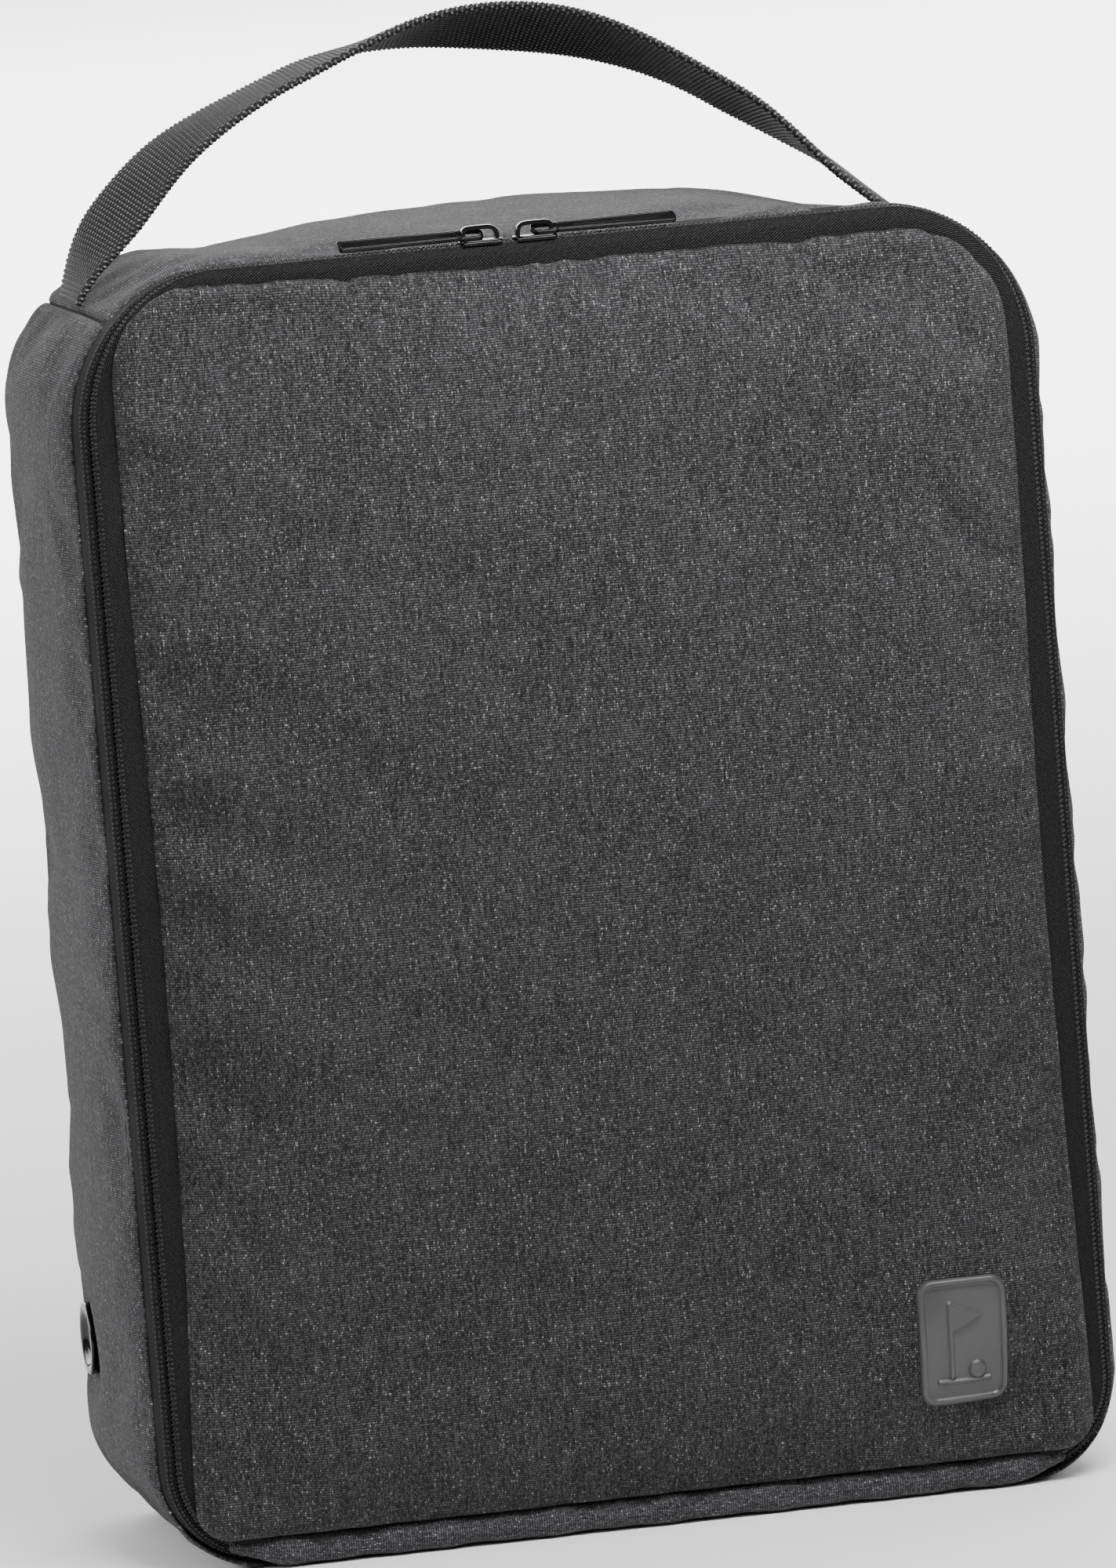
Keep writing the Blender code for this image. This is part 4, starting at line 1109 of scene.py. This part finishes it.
def build_slider(label, direction, metal):
    """The slider: two curved plates, the post between them and the bridge over the top one."""
    low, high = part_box("slider_" + label)
    centre = (low + high) / 2
    length, width = high.x - low.x, high.y - low.y
    plate = 1.0 * MM
    top = HEIGHT - 0.2 * MM + plate / 2
    bottom = low.z + plate / 2
    nose = direction
    meshes = [plate_mesh("top", slider_outline(length, width, nose), plate,
                         (centre.x, centre.y, top), 0.32 * MM),
              plate_mesh("bottom", slider_outline(length, width * 0.75, nose), plate,
                         (centre.x, centre.y, bottom), 0.3 * MM),
              union_box("post", (4.0 * MM, 0.5 * MM, top - bottom),
                        (centre.x, centre.y, (top + bottom) / 2), 0.1 * MM)]
    for side in (-1, 1):
        meshes.append(union_box("rail", (length * 0.86, 0.7 * MM, 0.9 * MM),
                                (centre.x, centre.y + side * (width / 2 - 0.55 * MM),
                                 top - 0.45 * MM), 0.22 * MM))
    foot = top + plate * 0.2
    rise = high.z - foot - 0.45 * MM
    reach = 4.6 * MM
    arch = [(centre.x - reach, centre.y, foot - 0.3 * MM)]
    for turn in np.linspace(pi, 0, 33):
        c, s = cos(turn), sin(turn)
        lean = 0.10 * abs(s) * reach * direction
        arch.append((centre.x + np.sign(c) * abs(c) ** 0.42 * reach + lean, centre.y,
                     foot + abs(s) ** 0.42 * rise))
    arch.append((centre.x + reach, centre.y, foot - 0.3 * MM))
    meshes.append(sweep_mesh("bridge", arch, 2.9 * MM, 1.2 * MM, (0, 1, 0)))
    slider = join(f"slider_{label}_body", meshes)
    dress(slider, metal, "slider_" + label, "black_metal", "slider_" + label)


def build_pull(label, direction, metal):
    """A long pull: a flat bar with a raised rim and a groove, and a loop round the slider's bridge."""
    low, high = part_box("pull_" + label)
    centre = (low + high) / 2
    pin = Vector(JOINTS[f"pull_{label}_swing"]["pos_m"])
    near = pin.x
    far = low.x if direction < 0 else high.x
    half_width = (high.y - low.y) / 2
    thick = high.z - low.z
    loop_end = near + direction * 6.4 * MM
    ring = []
    loop_near = near - direction * 0.5 * MM
    middle, reach = (loop_near + loop_end) / 2, abs(loop_end - loop_near) / 2
    for index in range(48):
        angle = 2 * pi * index / 48
        c, s = cos(angle), sin(angle)
        ring.append((middle + np.sign(c) * abs(c) ** 0.6 * reach,
                     centre.y + np.sign(s) * abs(s) ** 0.6 * (half_width - 0.5 * MM), centre.z))
    ring.append(ring[0])
    ring.append(ring[1])
    meshes = [sweep_mesh("loop", ring, thick, 1.0 * MM, (0, 0, 1))]
    bar_start = near + direction * 5.6 * MM
    bar = (bar_start + far) / 2
    bar_length = abs(far - bar_start)

    def shape(width, run, round_end):
        points = []
        for index in range(44):
            angle = 2 * pi * index / 44
            c, s = cos(angle), sin(angle)
            x = np.sign(c) * max(run / 2 - round_end, 0) + c * round_end
            y = np.sign(s) * max(width / 2 - round_end, 0) + s * round_end
            taper = 0.80 + 0.20 * smooth(0.5 + direction * x / run)
            points.append((x, y * float(taper)))
        return points

    full = 2 * half_width
    meshes.append(plate_mesh("bar", shape(full, bar_length, 1.1 * MM), thick * 0.72,
                             (bar, centre.y, centre.z - thick * 0.10), 0.25 * MM))
    outer_rim = shape(full, bar_length, 1.1 * MM)
    rim = [(bar + x * 0.985, centre.y + y * 0.86, centre.z + thick * 0.24) for x, y in outer_rim]
    rim += rim[:2]
    meshes.append(sweep_mesh("rim", rim, 0.62 * MM, 0.75 * MM, (0, 0, 1)))
    spine = [(bar + direction * bar_length * t, centre.y, centre.z + thick * 0.26)
             for t in np.linspace(-0.34, 0.36, 12)]
    meshes.append(sweep_mesh("spine", spine, 0.8 * MM, 0.34 * MM, (0, 1, 0)))
    pull = join(f"zip_pull_{label}", meshes)
    tilt = Matrix.Rotation(PULL_TILT, 4, "X")
    pull.data.transform(Matrix.Translation(pin) @ tilt @ Matrix.Translation(-pin))
    dress(pull, metal, "pull_" + label, "black_metal", "pull_" + label)


def turned_object(name, profile, centre, side):
    """A ring turned about X through the centre from an (offset along X, radius) profile."""
    steps = 72
    profile = np.asarray(profile, float)
    angle = np.linspace(0, 2 * pi, steps, endpoint=False)[None, :]
    x = centre.x + side * profile[:, 0:1] + 0 * angle
    y = centre.y + profile[:, 1:2] * np.cos(angle)
    z = centre.z + profile[:, 1:2] * np.sin(angle)
    points = np.stack([x, y, z], -1).reshape(-1, 3)
    rows = len(profile)
    faces = grid_faces(rows, steps, wrap=True).tolist()
    last = (rows - 1) * steps
    faces += [[last + i, last + (i + 1) % steps, (i + 1) % steps, i] for i in range(steps)]
    return outward(new_mesh(name, points, faces))


def arc_profile(centre, radius, start, stop, count):
    return [(centre[0] + radius[0] * cos(a), centre[1] + radius[1] * sin(a))
            for a in np.linspace(start, stop, count)]


def build_eyelets(metal):
    """Thick black rings: a barrel through the wall, a straight rim and a face that dips towards the hole."""
    for label, side in (("left", -1), ("right", 1)):
        low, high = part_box("eyelet_" + label)
        centre = Vector((side * WIDTH / 2, (low.y + high.y) / 2, (low.z + high.z) / 2))
        proud = abs((low.x if side < 0 else high.x) - centre.x)
        outer = (high.z - low.z) / 2
        inner_end = -(high.x - low.x - proud)
        corner = 0.55 * MM
        profile = [(inner_end, EYELET_HOLE), (inner_end, EYELET_HOLE + 1.1 * MM),
                   (0.1 * MM, EYELET_HOLE + 1.2 * MM),
                   (0.1 * MM, outer)]
        profile += arc_profile((proud - corner, outer - corner), (corner, corner), 0.5 * pi, 0.0, 8)
        dish = np.linspace(0, 1, 14)[1:]
        reach = outer - 1.4 * MM - EYELET_HOLE
        profile += [(proud - 1.9 * MM * float(smooth(t)), outer - 1.4 * MM - reach * t) for t in dish]
        profile += [(0.6 * MM, EYELET_HOLE - 0.25 * MM), (-0.5 * MM, EYELET_HOLE - 0.2 * MM)]
        ring = turned_object(f"eyelet_{label}_ring", profile, centre, side)
        dress(ring, metal, "shell", "black_metal", "eyelet_" + label)


# Handle

HANDLE_Y = 2 * MM
HANDLE_LINE = ((-0.1224, 0.3400), (-0.1170, 0.3505), (-0.1077, 0.3620), (-0.0903, 0.3786),
               (-0.0660, 0.3918), (-0.0415, 0.4006), (-0.0150, 0.4048), (0.0150, 0.4020),
               (0.0400, 0.3930), (0.0650, 0.3778), (0.0860, 0.3612), (0.0985, 0.3503),
               (0.1085, 0.3415), (0.1160, 0.3335))
HANDLE_TWIST = ((0.0, 2.0), (0.16, 25.0), (0.33, 4.0), (0.52, -33.0), (0.68, -14.0), (0.80, 6.0), (1.0, 2.0))
WEBBING_WIDTH = 25 * MM
WEBBING = 2.2 * MM
KNOT_LENGTH = 1.35 * MM
KNOT_WIDTH = 1.4 * MM


def handle_middle(share):
    points = np.array([(x, HANDLE_Y, z) for x, z in HANDLE_LINE])
    spans = len(points) - 1
    index = np.minimum((share * spans).astype(int), spans - 1)
    t = (share * spans - index)[:, None]
    before, start = points[np.maximum(index - 1, 0)], points[index]
    end, after = points[index + 1], points[np.minimum(index + 2, spans)]
    return 0.5 * (2 * start + (end - before) * t + (2 * before - 5 * start + 4 * end - after) * t ** 2
                  + (3 * start - before - 3 * end + after) * t ** 3)


def build_handle(webbing):
    """One strap from seam to seam, with woven bumps and ridged edges in the mesh."""
    rough = handle_middle(np.linspace(0, 1, 800))
    length = np.concatenate([[0], np.cumsum(np.linalg.norm(np.diff(rough, axis=0), axis=1))])
    rows = 3 * int(length[-1] / KNOT_LENGTH) + 1
    along = np.arange(rows) * KNOT_LENGTH / 3
    share = np.interp(along, length, np.linspace(0, 1, 800))
    middle = handle_middle(share)
    run = np.gradient(middle, axis=0)
    run /= np.linalg.norm(run, axis=-1, keepdims=True)
    knots = np.array(HANDLE_TWIST)
    index = np.clip(np.searchsorted(knots[:, 0], share) - 1, 0, len(knots) - 2)
    t = smooth((share - knots[index, 0]) / (knots[index + 1, 0] - knots[index, 0]))
    twist = np.radians(knots[index, 1] + (knots[index + 1, 1] - knots[index, 1]) * t)[:, None]
    y_axis = np.array((0.0, 1.0, 0.0))[None]
    across = np.cos(twist) * y_axis + np.sin(twist) * np.cross(run, y_axis)
    out = np.cross(across, run)
    out *= np.where(out[:, 2:3] < 0, -1, 1)
    cells = 4 * round(WEBBING_WIDTH / KNOT_WIDTH)
    lateral = np.linspace(-1, 1, cells + 1)[None, :]
    row = along[:, None] / KNOT_LENGTH + 1e-6
    column = lateral * WEBBING_WIDTH / 2 / KNOT_WIDTH + 0.5 * (np.floor(row) % 2)
    bump = np.sqrt(np.abs(np.sin(pi * row) * np.sin(pi * column))) - 0.5
    edge = smooth((1 - np.abs(lateral)) * 9)
    height = WEBBING / 2 * (0.30 + 0.70 * np.sqrt(edge))
    cup = 0.5 * MM * lateral ** 2
    serrate = 1 - 0.026 * np.cos(2 * pi * row) * np.abs(lateral) ** 8
    layers = []
    for side in (1, -1):
        lift = side * height + bump * 0.5 * MM * side * edge - cup
        place = (middle[:, None] + across[:, None] * (lateral * serrate * WEBBING_WIDTH / 2)[..., None]
                 + out[:, None] * lift[..., None])
        layers.append(place)
    weave = np.stack([np.repeat(along[:, None], cells + 1, 1),
                      lateral * WEBBING_WIDTH / 2 + 0 * along[:, None],
                      0 * lateral + 0 * along[:, None]], -1)
    strap = pad_object("carrying_handle", layers[0], layers[1], weave)
    strap.data.materials.append(webbing)
    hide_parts("handle", "handle_end_left", "handle_end_right")
    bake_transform(strap)


# Badge


def build_badge(fit, rubber):
    """A moulded badge with a raised rim round a plain pennant and ball."""
    low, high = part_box("badge")
    centre_x, centre_z = (low.x + high.x) / 2, (low.z + high.z) / 2
    half_x, half_z = (high.x - low.x) / 2, (high.z - low.z) / 2
    corner = 4.6 * MM
    steps = 0.30 * MM
    columns, rows = int(2 * half_x / steps), int(2 * half_z / steps)
    x, z = plate_grid(half_x, -half_z, half_z, (corner,) * 4, columns, rows)
    inside = edge_distance(x, z, half_x, -half_z, half_z, (corner,) * 4)

    def raised(distance, soft=0.35 * MM):
        return smooth(0.5 + distance / (2 * soft))

    rim = raised(1.9 * MM - inside)
    pole_x = -3.6 * MM
    pole = raised(0.62 * MM - np.abs(x - pole_x)) * raised(10.6 * MM - np.abs(z - 0.4 * MM))
    down = (10.8 * MM - z)
    flag_reach = 9.0 * MM * (1 - np.abs(down - 4.1 * MM) / (4.1 * MM))
    flag = raised(np.minimum(np.minimum(x - pole_x, flag_reach - (x - pole_x)), 20 * MM))
    flag = flag * raised(4.1 * MM - np.abs(down - 4.1 * MM))
    ball = raised(2.3 * MM - np.hypot(x - 3.6 * MM, z + 8.3 * MM))
    ground = raised(0.55 * MM - np.abs(z + 11.2 * MM - 0.012 * (x / MM) ** 2 * MM * 0.4))
    ground = ground * raised(7.6 * MM - np.abs(x))
    relief = np.maximum.reduce([rim, pole, flag, ball, ground])
    edge = smooth(inside / (0.7 * MM))
    height = (0.45 + 0.95 * relief) * MM * (0.25 + 0.75 * edge)
    world_x, world_z = x + centre_x, z + centre_z
    base = seat_terms(world_x, world_z) @ fit
    outer = np.stack([world_x, base - height, world_z], -1)
    inner = np.stack([world_x, base + 0.9 * MM, world_z], -1)
    badge = pad_object("flap_badge", outer, inner, np.stack([x, z, 0 * x], -1))
    dress(badge, rubber, "front_flap", "badge_rubber", "badge")


# Inside


def lining_band(name, low, high, material, replaced):
    """A strip of gusset lining from the mouth to the back."""
    box_low, box_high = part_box(replaced)
    inset = 5.0 * MM
    along = np.linspace(low, high, int((high - low) / (4 * MM)))[None, :]
    depth = np.linspace(0, 1, 26)[:, None]
    x, z, nx, nz = RIM.at(along % RIM.length)
    y = box_low.y + (box_high.y - box_low.y) * depth
    weave = np.stack([y + 0 * along, along + 0 * y, 0 * y + 0 * along], -1)
    slack = waves(weave / MM, 31, 8, 70, 24) * 0.22 * MM * np.sin(pi * depth) + 0.2 * MM * np.sin(pi * depth)
    push = inset + slack
    points = sag(np.stack([x - nx * push, y + 0 * along, z - nz * push], -1))
    lining = sheet_object(name, points, weave)
    thicken(lining, 0.5 * MM, 0.0)
    subdivide(lining)
    dress(lining, material, "shell", "lining", replaced)


def panel_lining(name, replaced, body, y, material, pull):
    """A flat lining over a padded panel."""
    box_low, box_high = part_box(replaced)
    half, low, top = (box_high.x - box_low.x) / 2, box_low.z, box_high.z
    radii = (16 * MM, 16 * MM, 28 * MM, 28 * MM)
    x, z = plate_grid(half, low, top, radii, 50, 66)
    inside = edge_distance(x, z, half, low, top, radii)
    weave = np.stack([x, z, 0 * x], -1)
    slack = (waves(weave / MM, 17, 8, 120, 45) * 0.35 + 0.5) * MM * smooth(inside / (22 * MM))
    points = sag(np.stack([x, y + pull * slack, z], -1))
    lining = sheet_object(name, points, weave)
    thicken(lining, 0.5 * MM, 0.0)
    subdivide(lining)
    dress(lining, material, body, "lining", replaced)


def binding_ring(name, replaced, body, inset, depth, material, width=7.0 * MM):
    """A folded binding tape sewn over a seam all round the inside."""
    along = np.linspace(0, RIM.length, 320, endpoint=False)
    section = []
    for index in range(12):
        angle = 2 * pi * index / 12
        c, s = cos(angle), sin(angle)
        section.append((np.sign(c) * abs(c) ** 0.7 * width / 2, np.sign(s) * abs(s) ** 0.7 * 0.75 * MM))
    section = np.array(section)
    x, z, nx, nz = (value[:, None] for value in RIM.at(along))
    wobble = 0.15 * MM * np.sin(along[:, None] * 310) + 0.1 * MM * np.sin(along[:, None] * 97)
    lying_flat = section[None, :, 0] + 0 * x
    rise = section[None, :, 1] * (1 + 0 * x)
    shift = inset + lying_flat
    points = sag(np.stack([x - nx * shift, depth + rise + wobble, z - nz * shift], -1))
    weave = np.stack([along[:, None] + 0 * lying_flat, lying_flat, 0 * lying_flat], -1)
    index = np.arange(len(along) * 12).reshape(len(along), 12)
    following = np.roll(index, -1, 0)
    faces = np.stack([index, np.roll(index, -1, 1), np.roll(following, -1, 1), following], -1).reshape(-1, 4)
    ring = outward(new_mesh(name, points.reshape(-1, 3), faces, weave.reshape(-1, 3)))
    dress(ring, material, body, "binding", replaced)


def build_inside(lining, binding):
    """Linings on every wall, and the bindings over the inside seams."""
    lining_band("side_lining_left_cloth", LEFT_FOOT, LEFT_SHOULDER, lining, "side_lining_left")
    lining_band("top_lining_cloth", LEFT_SHOULDER, RIGHT_SHOULDER, lining, "top_lining")
    lining_band("side_lining_right_cloth", RIGHT_SHOULDER, RIGHT_FOOT, lining, "side_lining_right")
    lining_band("floor_lining_cloth", RIGHT_FOOT, LEFT_FOOT + RIM.length, lining, "floor_lining")
    back_low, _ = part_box("back_lining")
    panel_lining("back_lining_cloth", "back_lining", "shell", back_low.y, lining, -1)
    front_low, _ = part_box("front_lining")
    panel_lining("front_lining_cloth", "front_lining", "front_flap", front_low.y, lining, 1)
    rear_low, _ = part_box("rear_seam_binding")
    binding_ring("rear_binding", "rear_seam_binding", "shell", 6.5 * MM, rear_low.y + 3 * MM, binding, 3 * MM)
    mouth_low, mouth_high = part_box("mouth_seam_binding")
    mouth_middle = (mouth_low.y + mouth_high.y) / 2
    binding_ring("mouth_binding", "mouth_seam_binding", "shell", 6.5 * MM, mouth_middle, binding, 3 * MM)
    flap_low, flap_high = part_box("flap_seam_binding")
    flap_middle = (flap_low.y + flap_high.y) / 2
    binding_ring("flap_binding", "flap_seam_binding", "front_flap", 17.0 * MM, flap_middle, binding)


# Stage


def build_stage():
    """A wide pale floor, rising gently far away on every side so that no edge shows."""
    rings, around = np.array((0.0, 1.5, 4.0, 9.0, 14.0, 17.0, 18.5, 19.0)), 48
    rise = np.array((0.0, 0.0, 0.0, 0.0, 0.0, 0.9, 3.0, 7.0))
    angle = np.linspace(0, 2 * pi, around, endpoint=False)[None, :]
    x, y = rings[1:, None] * np.cos(angle), rings[1:, None] * np.sin(angle)
    points = np.stack([x, y, rise[1:, None] + 0 * angle], -1).reshape(-1, 3)
    middle = len(points)
    faces = grid_faces(len(rings) - 1, around, wrap=True).tolist()
    faces += [[middle, (i + 1) % around, i] for i in range(around)]
    floor = new_mesh("floor", np.vstack([points, np.zeros((1, 3))]), faces)
    floor.data.materials.append(stage_material())


def add_light(name, place, target, size, power, colour=(1.0, 1.0, 1.0)):
    data = bpy.data.lights.new(name, "AREA")
    data.shape = "RECTANGLE"
    data.size, data.size_y = size
    data.energy = power
    data.color = colour
    light = bpy.data.objects.new(name, data)
    bpy.context.scene.collection.objects.link(light)
    light.location = place
    light.rotation_euler = (Vector(place) - Vector(target)).to_track_quat("Z", "Y").to_euler()


def build_lights():
    """A high key in front that falls off down the flap, a soft side light, and washes over the floor."""
    add_light("key_softbox", (0.14, -0.41, 0.70), (0, -0.06, 0.30), (0.60, 0.20), 10.8)
    add_light("side_softbox", (-1.5, -0.05, 0.7), (0, 0, 0.17), (1.0, 0.4), 11.5)
    add_light("top_softbox", (0.0, 0.25, 1.4), (0, 0, 0.3), (1.0, 0.7), 0.5)
    add_light("front_wash", (0.5, -5.8, 3.6), (0, -4.8, 0), (5.0, 3.0), 70)
    add_light("rear_wash", (0.0, 4.8, 1.4), (0, 4.8, 0), (9.0, 6.0), 1250)
    world = bpy.data.worlds.new("studio")
    world.use_nodes = True
    background = world.node_tree.nodes["Background"]
    background.inputs["Color"].default_value = (0.97, 0.98, 1.0, 1.0)
    background.inputs["Strength"].default_value = 0.10
    bpy.context.scene.world = world


def main():
    make_camera()
    gusset_cloth = cloth_material("gusset_heather", grey(0.020, 0.0, 0.07), grey(0.155, 0.0, 0.06),
                                  grey(0.38, 0.0, 0.03))
    # front heather: a darker copy of the gusset heather, the same cloth with painted shade, because the front
    # gets less light than the gusset
    front_cloth = cloth_material("front_heather_painted_shade", grey(0.009, 0.0, 0.05), grey(0.112, 0.0, 0.04),
                                 grey(0.30, 0.0, 0.03))
    webbing = webbing_material()
    twills = (twill_material("tape_twill_outer", 1.3, 0.029), twill_material("tape_twill_inner", -1.3, 0.029))
    thread = plain_weave_material("zip_thread", grey(0.007), grey(0.028), 0.35 * MM, 0.6)
    lining = plain_weave_material("lining_weave", grey(0.022), grey(0.045, 0.0, 0.03), 0.55 * MM, 0.6)
    binding = plain_weave_material("binding_weave", grey(0.007), grey(0.025), 0.7 * MM)
    metal, coil = metal_material(), coil_material()

    build_gusset(gusset_cloth)
    badge_fit = build_front(front_cloth)
    build_back(gusset_cloth)
    build_welt(gusset_cloth)
    build_hinge_seam(binding)
    build_zipper(twills, thread, coil)
    for label, direction in (("left", -1), ("right", 1)):
        build_slider(label, direction, metal)
        build_pull(label, direction, metal)
        frame["nodes"]["eyelet_washer_" + label].data.materials.clear()
        frame["nodes"]["eyelet_washer_" + label].data.materials.append(metal)
    build_eyelets(metal)
    build_handle(webbing)
    build_badge(badge_fit, rubber_material())
    board = board_material()
    frame["nodes"]["base_board"].data.materials.clear()
    frame["nodes"]["base_board"].data.materials.append(board)
    build_inside(lining, binding)
    build_stage()
    build_lights()


main()
